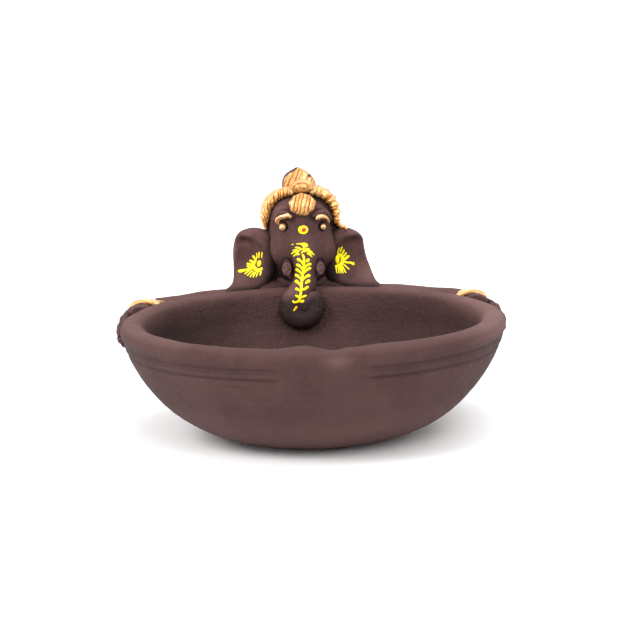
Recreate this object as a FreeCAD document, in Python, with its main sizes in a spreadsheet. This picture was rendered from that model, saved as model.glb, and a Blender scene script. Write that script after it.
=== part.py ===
import FreeCAD, Part
import math
import os
import sys

import Sketcher

# Diya oil lamp in dark fired clay: a wheel-thrown bowl with a thick rolled rim, and an
# elephant-headed figure behind it whose trunk hangs into the bowl and whose arms go round
# the outside of the rim. Every piece is clay formed on its own and luted to its neighbours.
# Frame: +Z up, origin at the centre of the foot, the wick rest at -Y, the figure at +Y.
# "left" is the -X side, as seen from the front. Millimetres.

V = FreeCAD.Vector
doc = FreeCAD.newDocument("diya")
sheet = doc.addObject("Spreadsheet::Sheet", "Dims")
_row = [0]
_cells = {}


def cell(alias, value):
    """A driving dimension: a plain number in the sheet, with an alias."""
    if alias in _cells:
        return "Dims." + alias
    _row[0] += 1
    address = "B%d" % _row[0]
    sheet.set("A%d" % _row[0], alias)
    sheet.set(address, "%.4f" % value)
    sheet.setAlias(address, alias)
    _cells[alias] = float(value)
    return "Dims." + alias


def bind(obj, prop, alias, value):
    obj.setExpression(prop, cell(alias, value))


def place(obj, tag, pos, axis=(0, 0, 1), angle=0.0):
    obj.Placement = FreeCAD.Placement(V(*pos), FreeCAD.Rotation(V(*axis), angle))
    for k, c in enumerate("xyz"):
        bind(obj, "Placement.Base." + c, "%s_p%s" % (tag, c), pos[k])


def place_matrix(obj, tag, pos, u, v, w):
    m = FreeCAD.Matrix(u.x, v.x, w.x, pos[0], u.y, v.y, w.y, pos[1], u.z, v.z, w.z, pos[2], 0, 0, 0, 1)
    obj.Placement = FreeCAD.Placement(m)
    for k, c in enumerate("xyz"):
        bind(obj, "Placement.Base." + c, "%s_p%s" % (tag, c), pos[k])


def ellipsoid(tag, centre, rx, ry, rz, axis=(0, 0, 1), angle=0.0):
    o = doc.addObject("Part::Ellipsoid", tag)
    o.Angle1, o.Angle2, o.Angle3 = -90, 90, 360
    bind(o, "Radius1", tag + "_rz", rz)
    bind(o, "Radius2", tag + "_rx", rx)
    bind(o, "Radius3", tag + "_ry", ry)
    place(o, tag, centre, axis, angle)
    return o


def sphere(tag, centre, radius):
    o = doc.addObject("Part::Sphere", tag)
    bind(o, "Radius", tag + "_rad", radius)
    place(o, tag, centre)
    return o


def sections(tag, rows, ref):
    """A roll of clay: ellipses across a path, lofted. rows are (x, y, z, half width, half
    thickness); the half thickness lies nearest the direction ref, which may be a function
    of the row's position."""
    made = []
    n = len(rows)
    for k, (x, y, z, a, b) in enumerate(rows):
        p0 = V(*rows[max(k - 1, 0)][:3])
        p1 = V(*rows[min(k + 1, n - 1)][:3])
        t = (p1 - p0).normalize()
        r = V(*(ref(x, y, z) if callable(ref) else ref))
        u = r.cross(t).normalize()
        v = t.cross(u).normalize()
        name = "%s_s%d" % (tag, k)
        e = doc.addObject("Part::Ellipse", name)
        bind(e, "MajorRadius", name + "_a", a)
        bind(e, "MinorRadius", name + "_b", min(b, a - 0.001))
        place_matrix(e, name, (x, y, z), u, v, t)
        made.append(e)
    loft = doc.addObject("Part::Loft", tag + "_loft")
    loft.Sections = made
    loft.Solid = True
    loft.Ruled = False
    loft.Closed = False
    return loft


def fuse(tag, objs):
    o = doc.addObject("Part::MultiFuse", tag)
    o.Shapes = objs
    return o


def cut(tag, base, *tools):
    """base less each tool, so that luted pieces meet face to face."""
    out = base
    for k, t in enumerate(tools):
        c = doc.addObject("Part::Cut", "%s_cut%d" % (tag, k))
        c.Base, c.Tool = out, t
        out = c
    return out


def plane_of(body, role):
    return [f for f in body.Origin.OriginFeatures if f.Role == role][0]


def sketch(body, tag, role="XZ_Plane"):
    s = body.newObject("Sketcher::SketchObject", tag)
    s.AttachmentSupport = (plane_of(body, role), [""])
    s.MapMode = "FlatFace"
    return s


def outline(s, tag, start, segs):
    """A closed outline. segs are ("L", end) or ("A", through, end); each corner's two
    coordinates and each arc's radius are constraints bound to the sheet."""
    pts = [start] + [g[-1] for g in segs[:-1]]
    ids = []
    cur = start
    for g in segs:
        end = g[-1]
        if g[0] == "L":
            ids.append(s.addGeometry(Part.LineSegment(V(cur[0], cur[1], 0), V(end[0], end[1], 0))))
        else:
            ids.append(s.addGeometry(Part.Arc(V(cur[0], cur[1], 0), V(g[1][0], g[1][1], 0), V(end[0], end[1], 0))))
        cur = end

    def which(i, p):
        a = s.getPoint(i, 1)
        b = s.getPoint(i, 2)
        return 1 if (a - V(p[0], p[1], 0)).Length < (b - V(p[0], p[1], 0)).Length else 2

    n = len(ids)
    for k in range(n):
        here, nxt = ids[k], ids[(k + 1) % n]
        corner = segs[k][-1]
        pe = which(here, corner)
        ps = which(nxt, corner)
        if n > 1:
            s.addConstraint(Sketcher.Constraint("Coincident", here, pe, nxt, ps))
    for k, p in enumerate(pts):
        ps = which(ids[k], p)
        for c, val, kind in (("x", p[0], "DistanceX"), ("z", p[1], "DistanceY")):
            if abs(val) < 1e-9:
                s.addConstraint(Sketcher.Constraint("PointOnObject", ids[k], ps, -2 if c == "x" else -1))
            else:
                i = s.addConstraint(Sketcher.Constraint(kind, -1, 1, ids[k], ps, val))
                s.setExpression("Constraints[%d]" % i, cell("%s_c%d%s" % (tag, k, c), val))
    for k, g in enumerate(segs):
        if g[0] == "A":
            rad = s.Geometry[ids[k]].Radius
            i = s.addConstraint(Sketcher.Constraint("Radius", ids[k], rad))
            s.setExpression("Constraints[%d]" % i, cell("%s_a%drad" % (tag, k), rad))


def body_of(tag):
    return doc.addObject("PartDesign::Body", tag)


nodes = {}


def node(label, obj):
    nodes[label] = obj
    obj.Label = label


# ---------------------------------------------------------------- bowl
# Flat foot, a wall that opens in one long curve, a thick rolled rim, two turned grooves
# under it, and a pinched wick rest at the front: a shallow dip with a raised lip beside it.
bowl = body_of("bowl_body")
sk = sketch(bowl, "bowl_profile")
outline(
    sk,
    "bowl",
    (0, 0),
    [
        ("L", (30.0, 0)),
        ("A", (35.8, 0.95), (40.6, 3.1)),
        ("A", (58.7, 16.0), (71.9, 35.4)),
        ("A", (73.3, 37.6), (74.1, 39.6)),
        ("A", (74.1, 43.2), (71.8, 45.4)),
        ("A", (69.2, 46.2), (66.9, 45.0)),
        ("A", (65.6, 43.2), (64.9, 40.6)),
        ("A", (52.8, 20.6), (26.0, 8.4)),
        ("A", (19.5, 7.35), (13.0, 7.0)),
        ("L", (0, 7.0)),
        ("L", (0, 0)),
    ],
)
rev = bowl.newObject("PartDesign::Revolution", "bowl_revolved")
rev.Profile = sk
rev.ReferenceAxis = (sk, ["V_Axis"])
rev.Angle = 360
doc.recompute()


def ring_groove(tag, zmid, rwall, tube):
    """A turned groove: a thin ring taken out of the wall."""
    s = sketch(bowl, tag + "_sk")
    i = s.addGeometry(Part.Circle(V(rwall, zmid, 0), V(0, 0, 1), tube))
    c = s.addConstraint(Sketcher.Constraint("DistanceX", -1, 1, i, 3, rwall))
    s.setExpression("Constraints[%d]" % c, cell(tag + "_wall", rwall))
    c = s.addConstraint(Sketcher.Constraint("DistanceY", -1, 1, i, 3, zmid))
    s.setExpression("Constraints[%d]" % c, cell(tag + "_height", zmid))
    c = s.addConstraint(Sketcher.Constraint("Radius", i, tube))
    s.setExpression("Constraints[%d]" % c, cell(tag + "_tube", tube))
    g = bowl.newObject("PartDesign::Groove", tag)
    g.Profile = s
    g.ReferenceAxis = (s, ["V_Axis"])
    g.Angle = 360
    return g


ring_groove("bowl_groove_low", 34.6, 71.95, 0.75)
ring_groove("bowl_groove_high", 38.7, 74.25, 0.75)
doc.recompute()


def pd_ellipsoid(kind, tag, centre, rx, ry, rz):
    o = bowl.newObject("PartDesign::%sEllipsoid" % kind, tag)
    bind(o, "Radius1", tag + "_rz", rz)
    bind(o, "Radius2", tag + "_rx", rx)
    bind(o, "Radius3", tag + "_ry", ry)
    o.Angle1, o.Angle2, o.Angle3 = -90, 90, 360
    place(o, tag, centre)
    return o


pd_ellipsoid("Additive", "wick_rest_bulge", (1.0, -70.2, 41.6), 13.0, 5.9, 4.0)
pd_ellipsoid("Additive", "wick_rest_lip", (-11.0, -69.0, 44.6), 8.2, 3.6, 2.7)
pd_ellipsoid("Subtractive", "wick_rest_dip", (1.5, -72.0, 48.3), 6.5, 9.0, 2.9)
doc.recompute()
node("bowl", bowl)
wall = rev  # the bowl without its grooves: what the luted pieces are trimmed against

# ---------------------------------------------------------------- torso
# The figure's back and shoulders, on the outside of the rear wall, from low on the wall to
# just above the rim.
torso_raw = sections(
    "torso",
    [
        (0, 62.5, 21.5, 8.0, 2.5),
        (0, 66.0, 23.5, 15.5, 5.5),
        (0, 71.0, 29.0, 21.5, 9.0),
        (0, 75.2, 36.0, 25.5, 10.2),
        (0, 76.8, 42.0, 27.5, 9.8),
        (0, 77.6, 46.0, 25.0, 8.0),
        (0, 77.8, 48.0, 19.0, 5.5),
        (0, 77.9, 48.7, 9.0, 2.6),
    ],
    (0, 1, 0),
)
torso = cut("torso", torso_raw, wall)
node("torso", torso)

# ---------------------------------------------------------------- head
head_raw = sections(
    "head",
    [
        (0, 77.5, 45.2, 7.0, 6.0),
        (0, 77.6, 46.5, 9.2, 7.8),
        (0, 78.2, 51.0, 11.6, 10.0),
        (-0.4, 78.8, 56.5, 13.7, 12.0),
        (-0.6, 79.2, 62.5, 14.9, 13.2),
        (-0.5, 79.4, 69.0, 15.0, 13.6),
        (-0.2, 79.6, 75.5, 14.2, 13.3),
        (0, 79.9, 81.0, 11.9, 11.4),
        (0, 80.1, 84.8, 8.2, 8.0),
        (0, 80.2, 86.6, 4.4, 4.3),
        (0, 80.2, 87.1, 1.6, 1.5),
    ],
    (0, 1, 0),
)
eye_l = sphere("left_eye_ball", (-8.15, 68.0, 72.1), 1.75)
eye_r = sphere("right_eye_ball", (8.1, 68.0, 72.0), 1.55)
head = cut("head", head_raw, torso, wall, eye_l, eye_r)
node("head", head)
node("left_eye", eye_l)
node("right_eye", eye_r)

# ---------------------------------------------------------------- trunk
# From the middle of the face down over the rear rim, then once round to the left, under
# and up on the right, against the inside wall.
trunk_rows = [
    (-0.2, 71.0, 67.5, 4.6, 3.4),
    (-0.2, 69.0, 65.5, 6.3, 4.8),
    (-0.5, 67.6, 61.5, 6.2, 5.0),
    (-1.0, 66.8, 56.5, 5.7, 4.9),
    (-1.7, 66.0, 51.5, 5.1, 4.6),
    (-2.5, 64.9, 46.8, 4.9, 4.3),
    (-4.6, 62.9, 42.8, 4.8, 4.2),
    (-6.4, 61.0, 39.3, 4.7, 4.1),
    (-5.6, 59.2, 36.0, 4.5, 4.0),
    (-2.4, 58.2, 34.6, 4.2, 3.8),
    (1.3, 58.4, 35.5, 3.8, 3.5),
    (4.0, 59.5, 38.5, 3.4, 3.2),
    (4.5, 61.2, 42.2, 2.9, 2.8),
    (3.6, 62.6, 45.3, 2.3, 2.25),
    (3.2, 63.0, 46.4, 1.2, 1.15),
]
trunk_raw = sections("trunk", trunk_rows, (0, 1, 0))
trunk = cut("trunk", trunk_raw, head, wall)
node("trunk", trunk)

# ---------------------------------------------------------------- lower lip
lip_raw = ellipsoid("lip_roll", (-0.6, 69.6, 50.6), 9.8, 5.4, 3.6)
lip = cut("lip", lip_raw, head, trunk, wall, torso)
node("lower_lip", lip)

# ---------------------------------------------------------------- tusks
for side, sx in (("left", -1), ("right", 1)):
    raw = sections(
        side + "_tusk",
        [
            (sx * 7.6, 70.5, 56.4, 2.5, 1.9),
            (sx * 8.0, 66.5, 55.9, 2.6, 1.95),
            (sx * 8.2, 63.9, 55.3, 2.75, 2.0),
            (sx * 8.3, 62.9, 55.0, 2.6, 1.85),
        ],
        (1, 0, 0),
    )
    node(side + "_tusk", cut(side + "_tusk", raw, head, trunk, lip))

# ---------------------------------------------------------------- arms
# Rolls round the outside of the rim, from the shoulders to the wrists. Angles are measured
# from +Y.


def ring(sx, deg, rad, z):
    a = math.radians(deg)
    return (sx * rad * math.sin(a), rad * math.cos(a), z)


arms = {}
for side, sx in (("left", -1), ("right", 1)):
    arm_rows = []
    for deg, rad, z, a, b in (
        (14.0, 78.6, 40.2, 5.0, 4.6),
        (18.0, 79.0, 40.3, 7.2, 6.4),
        (27.0, 79.2, 40.3, 7.1, 6.4),
        (36.0, 79.0, 40.3, 6.9, 6.2),
        (45.0, 78.9, 40.4, 6.7, 6.0),
        (54.0, 78.8, 40.5, 6.4, 5.8),
        (61.0, 78.3, 40.5, 6.3, 5.6),
    ):
        x, y, zz = ring(sx, deg, rad, z)
        arm_rows.append((x, y, zz, a, b))
    arm_raw = sections(side + "_arm", arm_rows, (0, 0, 1))
    arms[side] = arm_raw

# ---------------------------------------------------------------- ears
# A thick sheet of clay with a rounded edge, scooped out in front and open to the outside,
# its foot spreading on to the rim and the arm.
for side, sx in (("left", -1), ("right", 1)):
    b = body_of(side + "_ear_body")
    s = sketch(b, side + "_ear_outline")
    pts = {
        "start": (-7.6, -9.5),
        "segs": [
            ("A", (-9.6, -1.0), (-7.4, 8.0)),
            ("A", (-2.6, 12.3), (4.0, 12.0)),
            ("A", (8.4, 9.2), (9.6, 4.6)),
            ("A", (9.4, -3.0), (10.0, -8.0)),
            ("A", (11.2, -11.0), (13.6, -13.4)),
            ("L", (-4.0, -14.0)),
            ("A", (-6.2, -12.4), (-7.6, -9.5)),
        ],
    }
    if sx < 0:
        start = (-pts["start"][0], pts["start"][1])
        segs = [tuple([g[0]] + [(-p[0], p[1]) for p in g[1:]]) for g in pts["segs"]]
    else:
        start, segs = pts["start"], pts["segs"]
    outline(s, side + "_ear", start, segs)
    pad = b.newObject("PartDesign::Pad", side + "_ear_pad")
    pad.Profile = s
    bind(pad, "Length", side + "_ear_thick", 8.4)
    pad.Midplane = True
    doc.recompute()
    fil = b.newObject("PartDesign::Fillet", side + "_ear_round")
    edges = []
    for k, e in enumerate(pad.Shape.Edges):
        ys = [v.Point.y for v in e.Vertexes]
        zs = [v.Point.z for v in e.Vertexes]
        flat = max(ys) - min(ys) < 1e-6
        if flat and max(zs) > -12.0:
            edges.append("Edge%d" % (k + 1))
    fil.Base = (pad, edges)
    bind(fil, "Radius", side + "_ear_fillet", 3.0)
    doc.recompute()
    place(b, side + "_ear_body", (sx * 21.4, 77.2, 58.2), (0, 0, 1), sx * 10.0)
    dish = ellipsoid(side + "_ear_dish", (sx * 24.6, 69.4, 56.6), 8.6, 6.4, 11.0, (0, 0, 1), sx * 16.0)
    ear = cut(side + "_ear", b, dish, arms[side], head, torso, wall)
    node(side + "_ear", ear)

# ---------------------------------------------------------------- brows
for side, sx in (("left", -1), ("right", 1)):
    dy = 0.0
    raw = sections(
        side + "_brow",
        [
            (sx * 11.4, 70.0, 73.6, 0.5, 0.45),
            (sx * 11.1, 69.5, 74.6, 0.85, 0.8),
            (sx * 9.9, 68.5, 76.5, 0.95, 0.9),
            (sx * 8.0, 67.5, 77.3, 0.95, 0.9),
            (sx * 5.9, 66.8, 77.0, 0.9, 0.85),
            (sx * 5.0, 66.7, 76.6, 0.5, 0.45),
        ],
        (0, 1, 0),
    )
    node(side + "_brow", cut(side + "_brow", raw, head))

# ---------------------------------------------------------------- crown
# Two ribbed rolls run from the ears up to a knot over the forehead; a scored finial stands
# behind the knot and a scored disc hangs in front of the forehead.


def band_rows(sx, lumps):
    rows = []
    n = 2 * lumps + 1
    for k in range(n):
        t = k / (n - 1.0)
        a = math.radians(-12.0 + 84.0 * t)
        x = sx * 14.6 * math.cos(a)
        z = 70.6 + 14.6 * math.sin(a)
        y = 77.6 - 1.9 * math.sin(max(a, 0))
        big = 1.0 if k % 2 else 0.9
        taper = 0.72 if k in (0,) else (0.9 if k == 1 else 1.0)
        rows.append((x, y, z, 4.1 * big * taper, 2.55 * big * taper))
    return rows


pendant = body_of("pendant_body")
s = sketch(pendant, "pendant_profile")
outline(s, "pendant", (0, -1.2), [("L", (4.6, -1.2)), ("A", (5.6, 0.1), (4.7, 1.1)), ("A", (3.2, 1.5), (1.6, 1.6)), ("L", (0, 1.6)), ("L", (0, -1.2))])
r = pendant.newObject("PartDesign::Revolution", "pendant_disc")
r.Profile = s
r.ReferenceAxis = (s, ["V_Axis"])
r.Angle = 360
doc.recompute()
s2 = sketch(pendant, "pendant_score_sk", "XZ_Plane")
outline(s2, "pendant_score", (-3.75, 0.95), [("L", (-3.2, 2.2)), ("L", (-4.3, 2.2)), ("L", (-3.75, 0.95))])
p = pendant.newObject("PartDesign::Pocket", "pendant_score")
p.Profile = s2
p.Type = 1
p.Midplane = True
doc.recompute()
lin = pendant.newObject("PartDesign::LinearPattern", "pendant_scores")
lin.Originals = [p]
lin.Direction = (s2, ["H_Axis"])
bind(lin, "Length", "pendant_score_span", 7.5)
lin.Occurrences = 6
doc.recompute()
pendant.Tip = lin
# the disc's face looks forward and a little up
place(pendant, "pendant_body", (1.2, 66.9, 80.6), (1, 0, 0), 68.0)
boss_raw = sections(
    "boss",
    [
        (-3.6, 71.0, 87.5, 0.7, 0.6),
        (-2.9, 71.0, 87.5, 1.8, 1.6),
        (-1.2, 71.0, 87.5, 2.6, 2.4),
        (1.2, 71.0, 87.5, 2.85, 2.7),
        (3.6, 71.0, 87.5, 2.6, 2.4),
        (5.3, 71.0, 87.5, 1.8, 1.6),
        (6.0, 71.0, 87.5, 0.7, 0.6),
    ],
    (0, 1, 0),
)
finial_raw = sections(
    "finial",
    [
        (0.0, 80.6, 84.2, 7.0, 2.9),
        (-0.2, 80.4, 86.4, 7.3, 3.1),
        (-0.3, 80.3, 88.6, 6.5, 3.0),
        (-0.4, 80.2, 90.8, 4.6, 2.6),
        (-0.4, 80.1, 92.8, 2.4, 1.9),
        (-0.35, 80.1, 94.2, 0.9, 0.8),
        (-0.35, 80.1, 94.8, 0.35, 0.3),
    ],
    (0, 1, 0),
)
band_l = cut("left_crown_band", sections("left_band", band_rows(-1, 7), lambda x, y, z: (x, 0, z - 70.6)), head)
band_r = cut("right_crown_band", sections("right_band", band_rows(1, 7), lambda x, y, z: (x, 0, z - 70.6)), head)
pend = cut("forehead_pendant", pendant, head, band_l, band_r)
boss = cut("crown_boss", boss_raw, head, band_l, band_r, pendant)
finial = cut("crown_finial", finial_raw, head, band_l, band_r, boss_raw)
node("left_crown_band", band_l)
node("right_crown_band", band_r)
node("forehead_pendant", pend)
node("crown_boss", boss)
node("crown_finial", finial)

# ---------------------------------------------------------------- bangles and hands
for side, sx in (("left", -1), ("right", 1)):
    arm_raw = arms[side]
    bangle_rows = []
    cx, cy, cz = ring(sx, 55.0, 78.7, 40.5)
    radial = V(sx * math.sin(math.radians(55)), math.cos(math.radians(55)), 0)
    for k in range(16):
        a = math.radians(22.5 * k + 6)
        p = V(cx, cy, cz) + radial * (7.3 * math.cos(a)) + V(0, 0, 1) * (5.95 * math.sin(a))
        bangle_rows.append((p.x, p.y, p.z, 1.15, 0.95))
    bangle_raw = sections(side + "_bangle", bangle_rows, lambda x, y, z, cx=cx, cy=cy, cz=cz: (x - cx, y - cy, z - cz))
    bangle_raw.Closed = True
    arm = cut(side + "_arm_node", arm_raw, torso, wall)
    bangle = cut(side + "_bangle_node", bangle_raw, arm_raw, wall)
    node(side + "_arm", arm)
    node(side + "_bangle", bangle)

# one hand is shaped on the right and mirrored to the left
sx = 1
palm = sections(
    "hand_palm",
    [
        (*ring(sx, 59.6, 78.2, 40.5), 5.5, 5.1),
        (*ring(sx, 64.0, 77.9, 40.5), 6.0, 5.4),
        (*ring(sx, 68.5, 77.2, 40.3), 6.3, 4.9),
        (*ring(sx, 73.0, 76.3, 40.0), 6.4, 3.9),
        (*ring(sx, 76.0, 75.8, 39.7), 5.9, 3.0),
    ],
    lambda x, y, z: (x, y, 0),
)
fingers = []
for k in range(4):
    z0 = 44.4 - 2.75 * k
    reach = (83.5, 86.5, 86.0, 83.0)[k]
    rad = (74.9, 75.1, 74.3, 73.0)[k]
    fingers.append(
        sections(
            "hand_finger%d" % k,
            [
                (*ring(sx, 70.0, rad + 1.4, z0 + 0.4), 1.0, 0.95),
                (*ring(sx, 72.0, rad + 1.2, z0 + 0.3), 1.75, 1.7),
                (*ring(sx, (72.0 + reach) / 2, rad + 0.7, z0), 1.7, 1.65),
                (*ring(sx, reach - 1.2, rad + 0.1, z0 - 0.5), 1.5, 1.45),
                (*ring(sx, reach, rad - 0.1, z0 - 0.6), 0.7, 0.65),
            ],
            lambda x, y, z: (x, y, 0),
        )
    )
thumb = sections(
    "hand_thumb",
    [
        (*ring(sx, 62.5, 74.4, 45.4), 0.9, 0.85),
        (*ring(sx, 64.2, 73.9, 45.8), 1.8, 1.5),
        (*ring(sx, 69.0, 73.2, 46.2), 1.9, 1.5),
        (*ring(sx, 74.0, 72.9, 46.0), 1.6, 1.3),
        (*ring(sx, 76.0, 73.0, 45.8), 0.7, 0.6),
    ],
    (0, 0, 1),
)
hand_raw = fuse("hand_raw", [palm] + fingers + [thumb])
right_hand = cut("right_hand", hand_raw, arms["right"], wall)
node("right_hand", right_hand)
left_hand = doc.addObject("Part::Mirroring", "left_hand")
left_hand.Source = right_hand
left_hand.Base = V(0, 0, 0)
left_hand.Normal = V(1, 0, 0)
node("left_hand", left_hand)

doc.recompute()

# ---------------------------------------------------------------- checks and export
bad = []
for o in doc.Objects:
    if "Invalid" in o.State or "Error" in o.State:
        bad.append("%s (%s): %s" % (o.Name, o.Label, o.State))
if bad:
    sys.exit("failed objects:\n" + "\n".join(bad))
os.makedirs("parts", exist_ok=True)
for old in os.listdir("parts"):
    if old.endswith(".step") and old[:-5] not in nodes:
        os.remove(os.path.join("parts", old))
for label, o in nodes.items():
    shape = o.Shape
    if shape.isNull() or not shape.isValid() or shape.Volume <= 0 or not shape.Solids:
        sys.exit("bad shape: " + label)
    b = shape.optimalBoundingBox()
    print("%-18s solids %d vol %9.1f  x %7.2f %7.2f  y %7.2f %7.2f  z %7.2f %7.2f" % (label, len(shape.Solids), shape.Volume, b.XMin, b.XMax, b.YMin, b.YMax, b.ZMin, b.ZMax))
    shape.exportStep(os.path.join("parts", label + ".step"))
print(len(nodes), "nodes")
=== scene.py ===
import math

import bpy
import numpy as np
from mathutils import Matrix, Vector
from mathutils.bvhtree import BVHTree


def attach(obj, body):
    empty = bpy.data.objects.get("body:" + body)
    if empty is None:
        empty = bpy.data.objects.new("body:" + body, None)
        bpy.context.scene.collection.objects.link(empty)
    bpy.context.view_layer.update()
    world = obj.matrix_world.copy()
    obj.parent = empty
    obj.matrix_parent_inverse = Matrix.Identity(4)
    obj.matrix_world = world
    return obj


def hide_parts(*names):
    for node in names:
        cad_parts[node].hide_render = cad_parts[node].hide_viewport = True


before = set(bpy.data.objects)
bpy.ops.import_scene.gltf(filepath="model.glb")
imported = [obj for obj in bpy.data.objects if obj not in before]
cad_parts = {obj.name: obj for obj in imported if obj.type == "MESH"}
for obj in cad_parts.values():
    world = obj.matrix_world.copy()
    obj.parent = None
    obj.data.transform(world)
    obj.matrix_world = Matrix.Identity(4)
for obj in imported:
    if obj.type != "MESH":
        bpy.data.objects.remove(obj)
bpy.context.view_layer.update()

# Everything is worked out in millimetres in the part's frame and turned to metres when a
# mesh is made. +Z up, -Y to the front, "left" is -X.
MM = 0.001

# ------------------------------------------------------------------ numeric helpers
LAT = np.random.RandomState(11).uniform(-1, 1, (24, 24, 24))


def vnoise(P, size, off=0.0):
    """Smooth value noise in -1..1, one lump every size mm."""
    q = P / size + off
    i = np.floor(q).astype(np.int64)
    f = q - i
    f = f * f * f * (f * (f * 6 - 15) + 10)
    a = i % 24
    b = (a + 1) % 24
    x0, y0, z0 = a[:, 0], a[:, 1], a[:, 2]
    x1, y1, z1 = b[:, 0], b[:, 1], b[:, 2]
    fx, fy, fz = f[:, 0], f[:, 1], f[:, 2]
    c00 = LAT[x0, y0, z0] * (1 - fx) + LAT[x1, y0, z0] * fx
    c10 = LAT[x0, y1, z0] * (1 - fx) + LAT[x1, y1, z0] * fx
    c01 = LAT[x0, y0, z1] * (1 - fx) + LAT[x1, y0, z1] * fx
    c11 = LAT[x0, y1, z1] * (1 - fx) + LAT[x1, y1, z1] * fx
    return (c00 * (1 - fy) + c10 * fy) * (1 - fz) + (c01 * (1 - fy) + c11 * fy) * fz


def smin(a, b, k):
    h = np.clip(0.5 + 0.5 * (b - a) / k, 0, 1)
    return b * (1 - h) + a * h - k * h * (1 - h)


def smax(a, b, k):
    return -smin(-a, -b, k)


def smooth(x, a, b):
    t = np.clip((x - a) / (b - a), 0, 1)
    return t * t * (3 - 2 * t)


def gauss(x, w):
    return np.exp(-((x / w) ** 2))


def rot(axis, deg):
    return np.array(Matrix.Rotation(math.radians(deg), 3, axis))


def ell(P, c, r, R=None):
    q = P - np.array(c)
    if R is not None:
        q = q @ R
    r = np.array(r, float)
    k0 = np.linalg.norm(q / r, axis=1)
    k1 = np.linalg.norm(q / (r * r), axis=1) + 1e-9
    return k0 * (k0 - 1.0) / k1


def spline(rows, n, closed=False):
    """Catmull-Rom through rows, n points."""
    R = np.array(rows, float)
    m = len(R)
    if closed:
        K = np.vstack([R[-1:], R, R[:2]])
        t = np.linspace(0, m, n, endpoint=False)
    else:
        K = np.vstack([2 * R[0] - R[1], R, 2 * R[-1] - R[-2]])
        t = np.linspace(0, m - 1, n)
    i = np.minimum(np.floor(t).astype(int), (m - 1) if closed else (m - 2))
    u = (t - i)[:, None]
    p0, p1, p2, p3 = K[i], K[i + 1], K[i + 2], K[i + 3]
    return 0.5 * (2 * p1 + (p2 - p0) * u + (2 * p0 - 5 * p1 + 4 * p2 - p3) * u**2 + (3 * p1 - p0 - 3 * p2 + p3) * u**3)


def chain(P, rows, n=40, resample=True, scale=None):
    """A roll: distance to a path with a radius at each point. Returns distance, place
    along the path 0..1. scale squashes space about the path, such as (1, 1.2, 1)."""
    K = spline(rows, n) if resample else np.array(rows, float)
    s = np.ones(3) if scale is None else np.array(scale, float)
    Q = P * s
    C = K[:, :3] * s
    best = np.full(len(P), 1e9)
    where = np.zeros(len(P))
    m = len(C) - 1
    for k in range(m):
        a, b = C[k], C[k + 1]
        ab = b - a
        L = float(ab @ ab) + 1e-12
        t = np.clip(((Q - a) @ ab) / L, 0, 1)
        d = np.linalg.norm(Q - a - t[:, None] * ab, axis=1) - (K[k, 3] + (K[k + 1, 3] - K[k, 3]) * t)
        w = d < best
        best = np.where(w, d, best)
        where = np.where(w, (k + t) / m, where)
    return best / s.max(), where


def poly2(x, z, pts):
    """Signed distance to a closed outline in the X-Z plane, negative inside."""
    pts = np.array(pts, float)
    d = np.full(len(x), 1e9)
    inside = np.zeros(len(x), bool)
    n = len(pts)
    for k in range(n):
        a, b = pts[k], pts[(k + 1) % n]
        e = b - a
        wx, wz = x - a[0], z - a[1]
        t = np.clip((wx * e[0] + wz * e[1]) / (e @ e + 1e-12), 0, 1)
        d = np.minimum(d, (wx - t * e[0]) ** 2 + (wz - t * e[1]) ** 2)
        c = ((a[1] <= z) & (b[1] > z)) | ((a[1] > z) & (b[1] <= z))
        xx = a[0] + (z - a[1]) / (e[1] if abs(e[1]) > 1e-12 else 1e-12) * e[0]
        inside ^= c & (x < xx)
    return np.where(inside, -np.sqrt(d), np.sqrt(d))


def line2(x, z, pts):
    """Unsigned distance to an open line in the X-Z plane."""
    d = np.full(len(x), 1e9)
    for a, b in zip(pts[:-1], pts[1:]):
        ex, ez = b[0] - a[0], b[1] - a[1]
        t = np.clip(((x - a[0]) * ex + (z - a[1]) * ez) / (ex * ex + ez * ez + 1e-12), 0, 1)
        d = np.minimum(d, (x - a[0] - t * ex) ** 2 + (z - a[1] - t * ez) ** 2)
    return np.sqrt(d)


def sample(f, lo, hi, h):
    """f on a fine grid, worked out only near the surface."""
    lo = np.array(lo, float)
    n = np.maximum(np.ceil((np.array(hi, float) - lo) / (4 * h)).astype(int), 2)
    cx = [lo[k] + 4 * h * (np.arange(n[k]) + 0.5) for k in range(3)]
    G = np.stack(np.meshgrid(*cx, indexing="ij"), -1).reshape(-1, 3)
    d = f(G)
    V = np.repeat(np.repeat(np.repeat(d.reshape(n), 4, 0), 4, 1), 4, 2)
    near = np.where(np.abs(d) < 4 * h * 1.7 + 0.5)[0]
    off = (np.arange(4) - 1.5) * h
    O = np.stack(np.meshgrid(off, off, off, indexing="ij"), -1).reshape(-1, 3)
    ijk = np.stack(np.unravel_index(near, n), -1)
    oi = np.stack(np.meshgrid(np.arange(4), np.arange(4), np.arange(4), indexing="ij"), -1).reshape(-1, 3)
    for c in range(0, len(near), 8000):
        g = near[c : c + 8000]
        P = (G[g][:, None, :] + O[None]).reshape(-1, 3)
        val = f(P)
        I = (ijk[c : c + 8000][:, None, :] * 4 + oi[None]).reshape(-1, 3)
        V[I[:, 0], I[:, 1], I[:, 2]] = val
    return V, lo + 0.5 * h


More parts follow.
